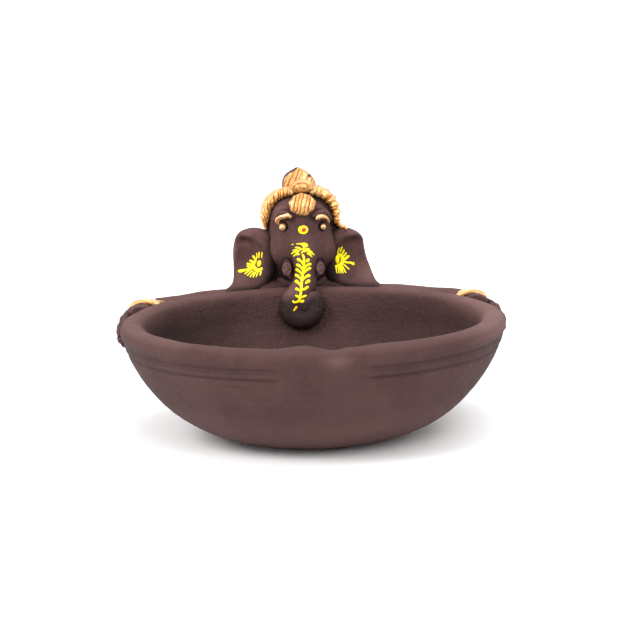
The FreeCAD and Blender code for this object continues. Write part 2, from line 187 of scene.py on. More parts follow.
def nets(V, lo, h):
    """Naive surface nets: vertices and quads of V = 0."""
    # a closed surface: the grid's shell counts as outside
    V[0], V[-1] = np.maximum(V[0], h), np.maximum(V[-1], h)
    V[:, 0], V[:, -1] = np.maximum(V[:, 0], h), np.maximum(V[:, -1], h)
    V[:, :, 0], V[:, :, -1] = np.maximum(V[:, :, 0], h), np.maximum(V[:, :, -1], h)
    S = V < 0
    nx, ny, nz = V.shape

    def cs(A, d):
        return A[d[0] : nx - 1 + d[0], d[1] : ny - 1 + d[1], d[2] : nz - 1 + d[2]]

    corners = [(i, j, k) for i in (0, 1) for j in (0, 1) for k in (0, 1)]
    cnt = sum(cs(S, c).astype(np.int8) for c in corners)
    mixed = (cnt > 0) & (cnt < 8)
    ids = np.full(mixed.shape, -1, np.int64)
    cells = np.argwhere(mixed)
    ids[mixed] = np.arange(len(cells))
    acc = np.zeros((len(cells), 3))
    num = np.zeros(len(cells))
    for a in corners:
        for ax in range(3):
            if a[ax]:
                continue
            b = list(a)
            b[ax] = 1
            va = V[cells[:, 0] + a[0], cells[:, 1] + a[1], cells[:, 2] + a[2]]
            vb = V[cells[:, 0] + b[0], cells[:, 1] + b[1], cells[:, 2] + b[2]]
            x = (va < 0) != (vb < 0)
            t = np.where(x, va / np.where(x, va - vb, 1), 0)
            p = np.array(a, float)[None].repeat(len(cells), 0)
            p[:, ax] += t
            acc += p * x[:, None]
            num += x
    P = (cells + acc / num[:, None]) * h + lo
    quads = []
    for ax in range(3):
        o1, o2 = [(1, 2), (2, 0), (0, 1)][ax]
        sl = [slice(None)] * 3
        sl[ax] = slice(0, V.shape[ax] - 1)
        s2 = [slice(None)] * 3
        s2[ax] = slice(1, V.shape[ax])
        A, B = S[tuple(sl)], S[tuple(s2)]
        e = np.argwhere(A != B)
        e = e[(e[:, o1] > 0) & (e[:, o2] > 0) & (e[:, o1] < V.shape[o1] - 1) & (e[:, o2] < V.shape[o2] - 1)]
        inside_first = A[e[:, 0], e[:, 1], e[:, 2]]
        q = []
        for u, v in ((1, 1), (0, 1), (0, 0), (1, 0)):
            c = e.copy()
            c[:, o1] -= u
            c[:, o2] -= v
            q.append(ids[c[:, 0], c[:, 1], c[:, 2]])
        q = np.stack(q, 1)
        q[inside_first] = q[inside_first]
        q[~inside_first] = q[~inside_first][:, ::-1]
        quads.append(q[:, ::-1])
    return P, np.vstack(quads)


def settle(f, P, times=2, e=0.05):
    """Moves vertices on to f = 0."""
    for _ in range(times):
        d = f(P)
        k = np.array([[1, -1, -1], [-1, -1, 1], [-1, 1, -1], [1, 1, 1]], float)
        g = sum(kk[None] * f(P + e * kk)[:, None] for kk in k) / (4 * e)
        g2 = (g * g).sum(1) + 1e-6
        step = np.clip(d / g2, -0.25, 0.25)
        P = P - 0.8 * step[:, None] * g
    return P


def make_mesh(name, P, quads, attrs=None, smooth_shade=True):
    me = bpy.data.meshes.new(name)
    me.vertices.add(len(P))
    me.vertices.foreach_set("co", (np.asarray(P, float) * MM).ravel())
    Q = np.asarray(quads)
    nf, k = Q.shape
    me.loops.add(nf * k)
    me.loops.foreach_set("vertex_index", Q.ravel().astype(np.int32))
    me.polygons.add(nf)
    me.polygons.foreach_set("loop_start", (np.arange(nf) * k).astype(np.int32))
    me.polygons.foreach_set("loop_total", np.full(nf, k, np.int32))
    me.update(calc_edges=True)
    me.validate()
    if smooth_shade:
        me.polygons.foreach_set("use_smooth", np.ones(len(me.polygons), bool))
    for key, val in (attrs or {}).items():
        at = me.attributes.new(key, "FLOAT", "POINT")
        at.data.foreach_set("value", np.asarray(val, np.float32))
    o = bpy.data.objects.new(name, me)
    bpy.context.scene.collection.objects.link(o)
    return o


def sculpt(name, f, lo, hi, h, attr=None, times=2):
    """A closed piece from the field f. attr(P) gives named numbers at each vertex."""
    V, o = sample(f, lo, hi, h)
    P, Q = nets(V, o, h)
    P = settle(f, P, times)
    # keep the one body: drop crumbs that a field can leave
    lab = islands(len(P), Q)
    top = np.bincount(lab).argmax()
    keep = lab == top
    new = np.cumsum(keep) - 1
    Q = new[Q[keep[Q[:, 0]]]]
    P = P[keep]
    return make_mesh(name, P, Q, attr(P) if attr else None)


def islands(n, Q):
    lab = np.arange(n)
    while True:
        m = lab[Q].min(1)
        new = lab.copy()
        for c in range(Q.shape[1]):
            np.minimum.at(new, Q[:, c], m)
        new = new[new]
        if (new == lab).all():
            return lab
        lab = new


# ------------------------------------------------------------------ materials
def nodes_of(name):
    m = bpy.data.materials.new(name)
    m.use_nodes = True
    nt = m.node_tree
    nt.nodes.clear()
    out = nt.nodes.new("ShaderNodeOutputMaterial")
    b = nt.nodes.new("ShaderNodeBsdfPrincipled")
    nt.links.new(b.outputs[0], out.inputs[0])
    return m, nt, b


def lin(r, g, b):
    def f(c):
        c /= 255.0
        return c / 12.92 if c <= 0.04045 else ((c + 0.055) / 1.055) ** 2.4

    return (f(r), f(g), f(b), 1.0)


def tex(nt, kind, scale, detail=2.0, rough=0.5, dist=0.0, vec=None):
    n = nt.nodes.new(kind)
    n.inputs["Scale"].default_value = scale
    if "Detail" in n.inputs:
        n.inputs["Detail"].default_value = detail
    if "Roughness" in n.inputs:
        n.inputs["Roughness"].default_value = rough
    if "Distortion" in n.inputs:
        n.inputs["Distortion"].default_value = dist
    if vec is not None:
        nt.links.new(vec, n.inputs["Vector"])
    return n


def mapr(nt, src, a, b, c=0.0, d=1.0, kind="SMOOTHSTEP"):
    n = nt.nodes.new("ShaderNodeMapRange")
    n.interpolation_type = kind
    n.inputs["From Min"].default_value = a
    n.inputs["From Max"].default_value = b
    n.inputs["To Min"].default_value = c
    n.inputs["To Max"].default_value = d
    nt.links.new(src, n.inputs["Value"])
    return n.outputs[0]


def math_(nt, op, a, b=None, c=None):
    n = nt.nodes.new("ShaderNodeMath")
    n.operation = op
    for k, v in enumerate((a, b, c)):
        if v is None:
            continue
        if isinstance(v, (int, float)):
            n.inputs[k].default_value = v
        else:
            nt.links.new(v, n.inputs[k])
    return n.outputs[0]


def mixc(nt, fac, a, b, mode="MIX"):
    n = nt.nodes.new("ShaderNodeMix")
    n.data_type = "RGBA"
    n.blend_type = mode
    for sock, v in ((n.inputs[0], fac), (n.inputs[6], a), (n.inputs[7], b)):
        if isinstance(v, (int, float)):
            sock.default_value = v
        elif isinstance(v, tuple):
            sock.default_value = v
        else:
            nt.links.new(v, sock)
    return n.outputs[2]


def bump(nt, height, strength, distance, normal=None):
    n = nt.nodes.new("ShaderNodeBump")
    n.inputs["Strength"].default_value = strength
    n.inputs["Distance"].default_value = distance
    nt.links.new(height, n.inputs["Height"])
    if normal is not None:
        nt.links.new(normal, n.inputs["Normal"])
    return n.outputs[0]


def attr(nt, name):
    n = nt.nodes.new("ShaderNodeAttribute")
    n.attribute_type = "GEOMETRY"
    n.attribute_name = name
    return n.outputs["Fac"]


def coords(nt):
    return nt.nodes.new("ShaderNodeTexCoord").outputs["Object"]


CLAY_DARK = lin(72, 47, 45)
CLAY_MID = lin(84, 57, 55)
CLAY_LIGHT = lin(100, 71, 68)


def clay_colour(nt, v):
    """Fired clay under a thin dark wash: cloudy, with finer mottling and pale grit."""
    cloud = tex(nt, "ShaderNodeTexNoise", 38.0, 4.0, 0.55, 0.4, v)
    mott = tex(nt, "ShaderNodeTexNoise", 340.0, 5.0, 0.65, 0.0, v)
    c = mixc(nt, mapr(nt, cloud.outputs["Fac"], 0.34, 0.68), CLAY_DARK, CLAY_MID)
    c = mixc(nt, mapr(nt, mott.outputs["Fac"], 0.40, 0.74, 0.0, 0.30), c, CLAY_LIGHT)
    # the wash is worn thin and warmer here and there
    warm = tex(nt, "ShaderNodeTexNoise", 75.0, 3.0, 0.6, 0.8, v)
    c = mixc(nt, mapr(nt, warm.outputs["Fac"], 0.56, 0.76, 0.0, 0.30), c, lin(92, 59, 50))
    return c, mott


def clay_material(name, dark=0.0, for_bowl=False):
    m, nt, b = nodes_of(name)
    v = coords(nt)
    c, mott = clay_colour(nt, v)
    # paler on standing edges and where light falls (part wear, part painted light), painted shade in hollows, creases
    # and shaded places: worked out from the shape and the place
    c = mixc(nt, attr(nt, "wear_and_painted_light"), c, lin(131, 95, 91))
    c = mixc(nt, attr(nt, "painted_shade"), c, lin(22, 15, 15))
    if for_bowl:
        # faint turning marks: bands at one height, broken up round the bowl
        sep = nt.nodes.new("ShaderNodeSeparateXYZ")
        nt.links.new(v, sep.inputs[0])
        comb = nt.nodes.new("ShaderNodeCombineXYZ")
        nt.links.new(math_(nt, "MULTIPLY", sep.outputs[0], 0.06), comb.inputs[0])
        nt.links.new(math_(nt, "MULTIPLY", sep.outputs[1], 0.06), comb.inputs[1])
        nt.links.new(sep.outputs[2], comb.inputs[2])
        lines = tex(nt, "ShaderNodeTexNoise", 620.0, 3.0, 0.6, 0.0, comb.outputs[0])
        c = mixc(nt, mapr(nt, lines.outputs["Fac"], 0.50, 0.78, 0.0, 0.10), c, lin(116, 86, 82))
        c = mixc(nt, mapr(nt, lines.outputs["Fac"], 0.22, 0.40, 0.10, 0.0), c, lin(62, 43, 42))
    sandc = tex(nt, "ShaderNodeTexNoise", 1300.0, 2.0, 0.6, 0.0, v)
    c = mixc(nt, mapr(nt, sandc.outputs["Fac"], 0.52, 0.74, 0.0, 0.14), c, lin(116, 84, 78))
    c = mixc(nt, mapr(nt, sandc.outputs["Fac"], 0.28, 0.46, 0.16, 0.0), c, lin(48, 32, 30))
    # pale grit and dust: small, sparse, uneven
    grit = tex(nt, "ShaderNodeTexVoronoi", 170.0, vec=v)
    grit.inputs["Randomness"].default_value = 1.0
    size = tex(nt, "ShaderNodeTexNoise", 190.0, 1.0, vec=v)
    spot = math_(nt, "SUBTRACT", mapr(nt, size.outputs["Fac"], 0.53, 0.70, 0.0, 0.075, "LINEAR"), grit.outputs["Distance"])
    c = mixc(nt, mapr(nt, spot, 0.0, 0.012, 0.0, 0.85), c, lin(214, 190, 176))
    # pits
    pit = tex(nt, "ShaderNodeTexVoronoi", 420.0, vec=v)
    psz = tex(nt, "ShaderNodeTexNoise", 120.0, 1.0, vec=v)
    hole = math_(nt, "SUBTRACT", mapr(nt, psz.outputs["Fac"], 0.52, 0.80, 0.0, 0.30, "LINEAR"), pit.outputs["Distance"])
    hole = mapr(nt, hole, 0.0, 0.10)
    c = mixc(nt, math_(nt, "MULTIPLY", hole, 0.55), c, lin(38, 26, 26))
    # painted light and shade: one clay, darkened to 0.69 on the bowl and brightened to 1.20 on the figure, standing in
    # for how the light falls on each
    hsv = nt.nodes.new("ShaderNodeHueSaturation")
    hsv.inputs["Value"].default_value = 0.69 if for_bowl else 1.20
    hsv.inputs["Saturation"].default_value = 0.96
    nt.links.new(c, hsv.inputs["Color"])
    nt.links.new(hsv.outputs["Color"], b.inputs["Base Color"])
    grain = tex(nt, "ShaderNodeTexNoise", 950.0, 4.0, 0.7, 0.0, v)
    sand = mapr(nt, grain.outputs["Fac"], 0.38, 0.62, 0.0, 1.0)
    lump = tex(nt, "ShaderNodeTexNoise", 260.0, 3.0, 0.55, 0.0, v)
    r = mapr(nt, mott.outputs["Fac"], 0.3, 0.7, 0.66, 0.86, "LINEAR")
    nt.links.new(r, b.inputs["Roughness"])
    b.inputs["Specular IOR Level"].default_value = 0.16
    n = bump(nt, lump.outputs["Fac"], 0.45, 0.0008)
    n = bump(nt, sand, 0.42, 0.00022, n)
    n = bump(nt, math_(nt, "SUBTRACT", 1.0, hole), 0.6, 0.00025, n)
    if for_bowl:
        n = bump(nt, lines.outputs["Fac"], 0.12, 0.0003, n)
        # the inside was left open-grained
        peb = tex(nt, "ShaderNodeTexNoise", 900.0, 3.0, 0.55, 0.1, v)
        pb = nt.nodes.new("ShaderNodeBump")
        pb.inputs["Distance"].default_value = 0.0005
        nt.links.new(mapr(nt, attr(nt, "rough"), 0.0, 1.0, 0.05, 0.50, "LINEAR"), pb.inputs["Strength"])
        nt.links.new(mapr(nt, peb.outputs["Fac"], 0.36, 0.62), pb.inputs["Height"])
        nt.links.new(n, pb.inputs["Normal"])
        n = pb.outputs["Normal"]
    nt.links.new(n, b.inputs["Normal"])
    return m


def gold_material(name, attribute=True):
    """Satin gold paint brushed over scored clay: thin in the grooves, where dark clay shows."""
    m, nt, b = nodes_of(name)
    v = coords(nt)
    fine = tex(nt, "ShaderNodeTexNoise", 520.0, 4.0, 0.6, 0.3, v)
    broad = tex(nt, "ShaderNodeTexNoise", 130.0, 3.0, 0.6, 0.3, v)
    c = mixc(nt, mapr(nt, fine.outputs["Fac"], 0.36, 0.66), lin(214, 152, 76), lin(240, 192, 122))
    c = mixc(nt, mapr(nt, broad.outputs["Fac"], 0.42, 0.68, 0.0, 0.55), c, lin(214, 150, 72))
    # painted highlight: the pale attribute lightens the eyes and brows to stand for their glints
    c = mixc(nt, math_(nt, "MULTIPLY", attr(nt, "pale"), 0.6), c, lin(240, 188, 136))
    c = mixc(nt, math_(nt, "MULTIPLY", attr(nt, "deep"), 0.90), c, lin(180, 124, 60))
    g = attr(nt, "groove")
    gn = math_(nt, "ADD", g, math_(nt, "MULTIPLY", math_(nt, "SUBTRACT", fine.outputs["Fac"], 0.5), 0.9))
    amber = mapr(nt, gn, 0.25, 0.75)
    c = mixc(nt, math_(nt, "MULTIPLY", amber, 0.70), c, lin(178, 112, 42))
    bare = mapr(nt, gn, 0.98, 1.18)
    bare = math_(nt, "MAXIMUM", bare, mapr(nt, math_(nt, "ADD", attr(nt, "bare"), math_(nt, "MULTIPLY", math_(nt, "SUBTRACT", fine.outputs["Fac"], 0.5), 0.7)), 0.42, 0.56))
    place = nt.nodes.new("ShaderNodeSeparateXYZ")
    nt.links.new(v, place.inputs[0])
    under = mixc(nt, mapr(nt, place.outputs[1], 0.0795, 0.0830), lin(60, 41, 38), lin(104, 76, 72))
    c = mixc(nt, bare, c, under)
    nt.links.new(c, b.inputs["Base Color"])
    metal = mapr(nt, bare, 0.0, 1.0, 0.55, 0.0, "LINEAR")
    nt.links.new(metal, b.inputs["Metallic"])
    r = mapr(nt, fine.outputs["Fac"], 0.3, 0.7, 0.16, 0.34, "LINEAR")
    nt.links.new(math_(nt, "ADD", r, math_(nt, "MULTIPLY", bare, 0.35)), b.inputs["Roughness"])
    b.inputs["Specular IOR Level"].default_value = 0.5
    nt.links.new(mapr(nt, bare, 0.0, 1.0, 0.8, 0.0, "LINEAR"), b.inputs["Coat Weight"])
    b.inputs["Coat Roughness"].default_value = 0.10
    grain = tex(nt, "ShaderNodeTexNoise", 900.0, 3.0, 0.6, 0.0, v)
    n = bump(nt, grain.outputs["Fac"], 0.5, 0.00025)
    n = bump(nt, broad.outputs["Fac"], 0.3, 0.0005, n)
    nt.links.new(n, b.inputs["Normal"])
    return m


def liner_material(name, a, c2, thin, low=False):
    """Liner paint squeezed from a cone: bright, a little glossy, thinner at its edges."""
    m, nt, b = nodes_of(name)
    v = coords(nt)
    n1 = tex(nt, "ShaderNodeTexNoise", 420.0, 3.0, 0.6, 0.2, v)
    c = mixc(nt, mapr(nt, n1.outputs["Fac"], 0.38, 0.66), a, c2)
    n2 = tex(nt, "ShaderNodeTexNoise", 210.0, 4.0, 0.65, 0.5, v)
    c = mixc(nt, mapr(nt, n2.outputs["Fac"], 0.66, 0.78, 0.0, 0.5), c, thin)
    if low:
        # the line turns amber low down on the coil
        sep = nt.nodes.new("ShaderNodeSeparateXYZ")
        nt.links.new(v, sep.inputs[0])
        drop = math_(nt, "ADD", sep.outputs[2], math_(nt, "MULTIPLY", n2.outputs["Fac"], 0.004))
        c = mixc(nt, mapr(nt, drop, 0.0455, 0.0415, 0.0, 0.80), c, lin(238, 160, 14))
    nt.links.new(c, b.inputs["Base Color"])
    nt.links.new(mapr(nt, n1.outputs["Fac"], 0.3, 0.7, 0.34, 0.48, "LINEAR"), b.inputs["Roughness"])
    b.inputs["Specular IOR Level"].default_value = 0.3
    n = bump(nt, n1.outputs["Fac"], 0.35, 0.0003)
    nt.links.new(n, b.inputs["Normal"])
    return m


CLAY = clay_material("clay_figure_painted_bright")
CLAY_BOWL = clay_material("clay_thrown_painted_dark", for_bowl=True)
GOLD = gold_material("gold_brushed")
YELLOW = liner_material("yellow_liner", lin(255, 234, 0), lin(255, 246, 8), lin(240, 178, 4), low=True)
RED = liner_material("red_liner", lin(200, 44, 36), lin(222, 74, 56), lin(150, 26, 24))


def dress(o, mat, slot, *nodes):
    o.data.materials.clear()
    o.data.materials.append(mat)
    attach(o, "root")
    if nodes:
        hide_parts(*nodes)
    return o

# ------------------------------------------------------------------ the bowl
def bowl_profile():
    """Outline in (r, z): foot, wall, rolled rim, inside, floor."""
    outer = [(0.0, 0.35), (12, 0.30), (24, 0.18), (28.6, 0.05), (30.2, 0.0), (31.4, 0.32), (34.0, 0.85), (40.7, 3.1), (47.8, 6.5), (54.0, 10.6), (60.2, 16.3), (65.9, 23.4), (69.9, 30.0), (71.9, 34.4), (73.2, 37.6), (74.05, 40.2), (74.45, 42.0), (74.15, 43.8), (73.0, 45.2), (71.2, 46.0), (69.3, 46.15), (67.6, 45.6), (66.0, 44.6), (65.0, 43.1), (64.4, 41.2), (63.3, 37.6), (61.6, 32.4), (58.0, 26.6), (53.0, 20.8), (46.2, 15.4), (37.6, 11.2), (27.0, 8.45), (15, 7.3), (0, 7.1)]
    return np.array(outer)


def bowl_field(theta, r, z, s):
    """How far the clay's surface stands off the turned outline at an angle, height and place s."""
    X, Y = r * np.sin(theta), -r * np.cos(theta)
    P = np.stack([X, Y, z], -1).reshape(-1, 3)
    d = 0.16 * vnoise(P, 22.0) + 0.07 * vnoise(P, 8.0, 3.3) + 0.022 * vnoise(P, 2.6, 7.7)
    d = d.reshape(r.shape)
    peb = (0.085 * vnoise(P, 1.15, 9.1) + 0.06 * vnoise(P * np.array([1, 1, 0.55]), 1.9, 2.9)).reshape(r.shape)
    d = d + np.where(s > 0, peb, 0.25 * peb)
    # turning marks: fine rings, stronger on the rim band, broken up round the bowl
    Q = np.stack([X * 0.05, Y * 0.05, z * 1.0], -1).reshape(-1, 3)
    rings = (0.055 * vnoise(Q, 0.9, 1.7) + 0.030 * vnoise(Q, 0.42, 5.1)).reshape(r.shape)
    d = d + rings
    # the two turned grooves, their lips and the fainter lines between; they die out at the wick rest
    deg = np.degrees(theta)
    fade = 1 - gauss(np.abs((deg + 1.0)) , 13.5) ** 1.0
    fade = smooth(np.abs(deg + 0.5), 8.5, 17.0)
    wav = 0.16 * np.sin(2 * theta + 0.6) + 0.09 * np.sin(5 * theta + 2.0)
    outside = (s == 0)
    zl = z - wav
    brk = (0.62 + 0.38 * vnoise(np.stack([X * 0.11, Y * 0.11, z * 0.0], -1).reshape(-1, 3), 1.0, 8.0)).reshape(r.shape)
    g = -0.52 * gauss(zl - 34.75, 0.62) - 0.34 * brk * gauss(zl - 38.7, 0.55)
    g = g + 0.16 * gauss(zl - 36.0, 0.60) + 0.10 * gauss(zl - 33.6, 0.7) + 0.15 * gauss(zl - 40.0, 0.6)
    g = g - 0.20 * (1 - 0.5 * brk) * gauss(zl - 37.3, 0.34) - 0.12 * brk * gauss(zl - 36.4, 0.25)
    g = g - 0.30 * gauss(zl - 39.2, 1.6)
    g = g * (0.75 + 0.25 * np.sin(3 * theta + 1.1)) * fade
    d = d + np.where(outside, g, 0)
    return d


def build_bowl():
    K = bowl_profile()
    pr = spline(K, 2200)
    pr[:, 0] = np.maximum(pr[:, 0], 0)
    seg = np.hypot(*np.diff(pr, axis=0).T)
    L = np.r_[0, np.cumsum(seg)]
    # denser on the outside's upper third and on the rim
    zz = 0.5 * (pr[1:, 1] + pr[:-1, 1])
    Lmid = 0.5 * (L[1:] + L[:-1])
    rim_at = L[np.argmax(pr[:, 1])]
    w = np.where(Lmid < rim_at, np.where(zz > 31, 2.6, 1.0), np.where(zz > 38, 1.9, 0.9))
    W = np.r_[0, np.cumsum(seg * w)]
    n = 176
    at = np.interp(np.linspace(0, W[-1], n), W, L)
    r = np.interp(at, L, pr[:, 0])
    z = np.interp(at, L, pr[:, 1])
    s = (at > rim_at).astype(float)
    r, z, s = r[1:-1], z[1:-1], s[1:-1]
    tr, tz = np.gradient(r), np.gradient(z)
    ln = np.hypot(tr, tz)
    nr, nz = tz / ln, -tr / ln
    m = 544
    th = np.linspace(-math.pi, math.pi, m, endpoint=False)
    TH, R = np.meshgrid(th, r, indexing="ij")
    _, Z = np.meshgrid(th, z, indexing="ij")
    _, NR = np.meshgrid(th, nr, indexing="ij")
    _, NZ = np.meshgrid(th, nz, indexing="ij")
    _, S = np.meshgrid(th, s, indexing="ij")
    d = bowl_field(TH, R, Z, S)
    flat = (Z < 0.6) & (R < 31.0)
    d = np.where(flat, 0.0, d) * smooth(R, 3.0, 10.0)
    R2 = R + NR * d
    Z2 = Z + NZ * d
    # thrown by hand: the rim is a shade out of round and out of level
    lift = smooth(Z, 20, 44)
    R2 = R2 + lift * (0.16 * np.sin(2 * TH + 0.8) + 0.08 * np.sin(3 * TH + 2.1)) * smooth(R, 30, 60)
    Z2 = Z2 + lift * 0.14 * np.sin(2 * TH - 0.4)
    X, Y = R2 * np.sin(TH), -R2 * np.cos(TH)
    # the pinched wick rest: a lip standing up on the inner side, a dip beside it, a thumb's
    # swelling outside under the dip and a flat next to it
    front = (Y < 0) & (np.abs(X) < 40)
    top = smooth(Z2, 40.5, 44.5)
    inner = smooth(R, 72.5, 68.5)
    Z3 = Z2 + np.where(front, top * inner * (1.25 * gauss(X + 6.6, 4.4) + 0.30 * gauss(X + 13.5, 3.0)), 0)
    Z3 = Z3 - np.where(front, top * (0.85 * gauss(X - 3.6, 3.6) + 0.18 * gauss(X - 12.0, 5.0)) * (0.55 + 0.45 * inner), 0)
    dR = 1.05 * gauss(X - 4.4, 5.2) * gauss(Z - 42.6, 3.6) - 0.75 * gauss(X - 14.0, 5.2) * gauss(Z - 41.8, 3.0)
    dR = dR + 0.45 * gauss(X + 9.0, 7.0) * gauss(Z - 41.2, 3.4) + 0.55 * gauss(X - 3.0, 10.0) * gauss(Z - 35.5, 5.0)
    dR = dR - 0.35 * gauss(X + 2.0, 2.0) * gauss(Z - 40.0, 4.0)
    dR = np.where(front & (S == 0), dR, 0)
    R3 = R2 + dR
    X, Y = R3 * np.sin(TH), -R3 * np.cos(TH)
    Y = np.maximum(Y, -75.6)
    P = np.stack([X, Y, Z3], -1).reshape(-1, 3)
    P[:, 2] = np.maximum(P[:, 2], 0.0)
    k = len(r)
    idx = np.arange(m * k).reshape(m, k)
    a = idx
    b = np.roll(idx, -1, 0)
    Q = np.stack([a[:, :-1], b[:, :-1], b[:, 1:], a[:, 1:]], -1).reshape(-1, 4)
    # caps at the axis: small fans
    c0, c1 = len(P), len(P) + 1
    P = np.vstack([P, [[0, 0, 0.35]], [[0, 0, 7.1]]])
    tri0 = np.stack([np.full(m, c0), b[:, 0], a[:, 0]], 1)
    tri1 = np.stack([np.full(m, c1), a[:, -1], b[:, -1]], 1)
    me = bpy.data.meshes.new("bowl_thrown")
    me.from_pydata((P * MM).tolist(), [], Q.tolist() + tri0.tolist() + tri1.tolist())
    me.update()
    me.polygons.foreach_set("use_smooth", np.ones(len(me.polygons), bool))
    # painted highlight along the rim's crest
    wear_and_painted_light = 0.40 * smooth(P[:, 2], 43.2, 46.0) * smooth(np.hypot(P[:, 0], P[:, 1]), 62, 68)
    wear_and_painted_light = wear_and_painted_light * (0.55 + 0.45 * (0.5 + 0.5 * vnoise(P, 9.0, 2.0)))
    # a painted highlight on the swelling outside the wick rest
    wear_and_painted_light = wear_and_painted_light + 0.42 * gauss(P[:, 0] - 5.0, 5.0) * gauss(P[:, 2] - 41.8, 2.2) * (P[:, 1] < -60)
    # painted shade: the front of the rim's crest kept darker
    wear_and_painted_light = wear_and_painted_light * (1 - 0.55 * smooth(-P[:, 1], 48, 62) * smooth(P[:, 2], 42.5, 44.0))
    # painted light: the lower outside paler, standing for light thrown up off the floor, and the right end of the rim
    # (a little of the left) paler where the light falls
    wear_and_painted_light = wear_and_painted_light + 0.42 * smooth(P[:, 2], 24.0, 5.0) + (0.55 * smooth(P[:, 0], 48, 70) + 0.16 * smooth(-P[:, 0], 50, 68)) * smooth(P[:, 2], 38.5, 43)
    rr = np.hypot(P[:, 0], P[:, 1])
    inside = np.r_[S.reshape(-1), 0, 1]
    # painted shade inside the bowl, deepest down the left wall
    shade_amt = inside * smooth(P[:, 2], 44.5, 36.0) * (0.11 + 0.11 * smooth(P[:, 0], 8, 42) + 0.53 * smooth(P[:, 0], -16, -58))
    deg = np.degrees(np.arctan2(P[:, 0], -P[:, 1]))
    fade = smooth(np.abs(deg + 0.5), 8.5, 17.0)
    zl = P[:, 2] - 0.16 * np.sin(2 * np.radians(deg) + 0.6) - 0.09 * np.sin(5 * np.radians(deg) + 2.0)
    # painted shade in the turned grooves outside, fading out at the wick rest
    shade_amt = shade_amt + (inside == 0) * fade * (0.50 * gauss(zl - 34.75, 0.60) + 0.32 * gauss(zl - 38.7, 0.55) + 0.20 * gauss(zl - 37.3, 0.35) + 0.12 * gauss(zl - 38.6, 2.0))
    for key, val in (("wear_and_painted_light", wear_and_painted_light), ("painted_shade", np.clip(shade_amt, 0, 1)), ("rough", inside.astype(float) * smooth(P[:, 2], 45.8, 43.0))):
        at = me.attributes.new(key, "FLOAT", "POINT")
        at.data.foreach_set("value", np.asarray(val, np.float32))
    o = bpy.data.objects.new("bowl_thrown", me)
    bpy.context.scene.collection.objects.link(o)
    import bmesh

    bm = bmesh.new()
    bm.from_mesh(me)
    bmesh.ops.recalc_face_normals(bm, faces=bm.faces)
    bm.to_mesh(me)
    bm.free()
    return dress(o, CLAY_BOWL, "clay", "bowl")


# ------------------------------------------------------------------ shared bits of the figure
TRUNK = [
    (0.4, 74.0, 66.2, 4.6),
    (0.5, 70.6, 63.8, 5.3),
    (0.8, 68.2, 60.6, 5.3),
    (0.9, 66.8, 56.5, 4.95),
    (0.75, 66.1, 52.0, 5.0),
    (0.3, 65.0, 48.2, 5.0),
    (-2.4, 63.2, 44.6, 4.7),
    (-5.6, 61.4, 41.2, 4.35),
    (-6.3, 60.0, 37.6, 4.1),
    (-4.2, 59.2, 35.0, 4.0),
    (-0.6, 58.9, 34.3, 3.9),
    (2.8, 59.3, 35.4, 3.8),
    (4.9, 60.4, 38.4, 3.6),
    (4.7, 61.6, 41.6, 3.2),
    (2.6, 62.2, 43.4, 2.5),
]
EYES = {"left": (-7.9, 67.6, 72.0), "right": (9.1, 68.3, 71.5)}


def head_core(P):
    d = ell(P, (0.0, 79.8, 74.6), (14.4, 12.9, 12.6))
    d = smin(d, ell(P, (0.2, 79.2, 65.2), (14.4, 12.3, 10.6)), 5.0)
    d = smin(d, ell(P, (0.5, 79.6, 56.6), (12.2, 10.6, 9.6)), 4.0)
    d = smin(d, ell(P, (0.4, 80.4, 49.5), (15.4, 6.6, 8.6)), 4.0)
    d = smin(d, ell(P, (13.6, 79.4, 69.0), (3.2, 4.2, 4.4)), 1.6)
    return d


def head_field(P):
    d = head_core(P)
    # cheeks: full beside the trunk, and the jaw under the tusks
    d = smin(d, ell(P, (-5.4, 73.2, 61.6), (7.6, 5.4, 6.8)), 4.0)
    d = smin(d, ell(P, (6.4, 73.2, 61.6), (7.6, 5.4, 6.8)), 4.0)
    # the trunk's root swells out of the face
    rows = [(x, y, z, r - (0.0 if k < 2 else 0.35 + 0.25 * (k - 2))) for k, (x, y, z, r) in enumerate(TRUNK[:5])]
    t, _ = chain(P, rows, 16)
    d = smin(d, t, 4.2)
    # brow ridges over the eyes, and the folds above them
    for sx, cx in ((-1, -7.7), (1, 8.6)):
        arc = [(cx - sx * -3.6, 68.9, 74.6, 0.75), (cx - sx * -1.6, 67.5, 77.4, 1.05), (cx + sx * -1.4, 66.9, 77.5, 1.0), (cx + sx * -3.6, 66.7, 76.2, 0.7)]
        b, _ = chain(P, arc, 10)
        d = smin(d, b, 1.5)
        fold = [(cx + sx * 4.2, 70.6, 77.0, 0.25), (cx + sx * 2.2, 69.6, 79.6, 0.3), (cx - sx * 0.8, 68.8, 80.3, 0.22)]
        g, _ = chain(P, fold, 8)
        d = d + 0.22 * gauss(np.maximum(g, 0), 0.7)
        # eye socket
        e = EYES["left" if sx < 0 else "right"]
        d = smax(d, -ell(P, (e[0] + sx * 0.15, e[1] - 1.2, e[2] + 0.15), (2.35, 3.1, 2.5)), 0.3)
        # crease between the cheek and the trunk's root
        cr = [(cx - sx * 1.2, 66.9, 66.2, 0.1), (cx - sx * 2.4, 66.5, 63.6, 0.1), (cx - sx * 3.0, 66.6, 60.4, 0.1), (cx - sx * 3.0, 67.2, 57.6, 0.1)]
        g, _ = chain(P, cr, 10)
        d = d + 0.14 * gauss(np.maximum(g, 0), 0.9)
    d = d + (0.10 + 0.30 * smooth(P[:, 1], 80, 86)) * vnoise(P * np.array([1, 1, 0.6]), 7.0) + 0.05 * vnoise(P, 2.4, 4.0)
    return d


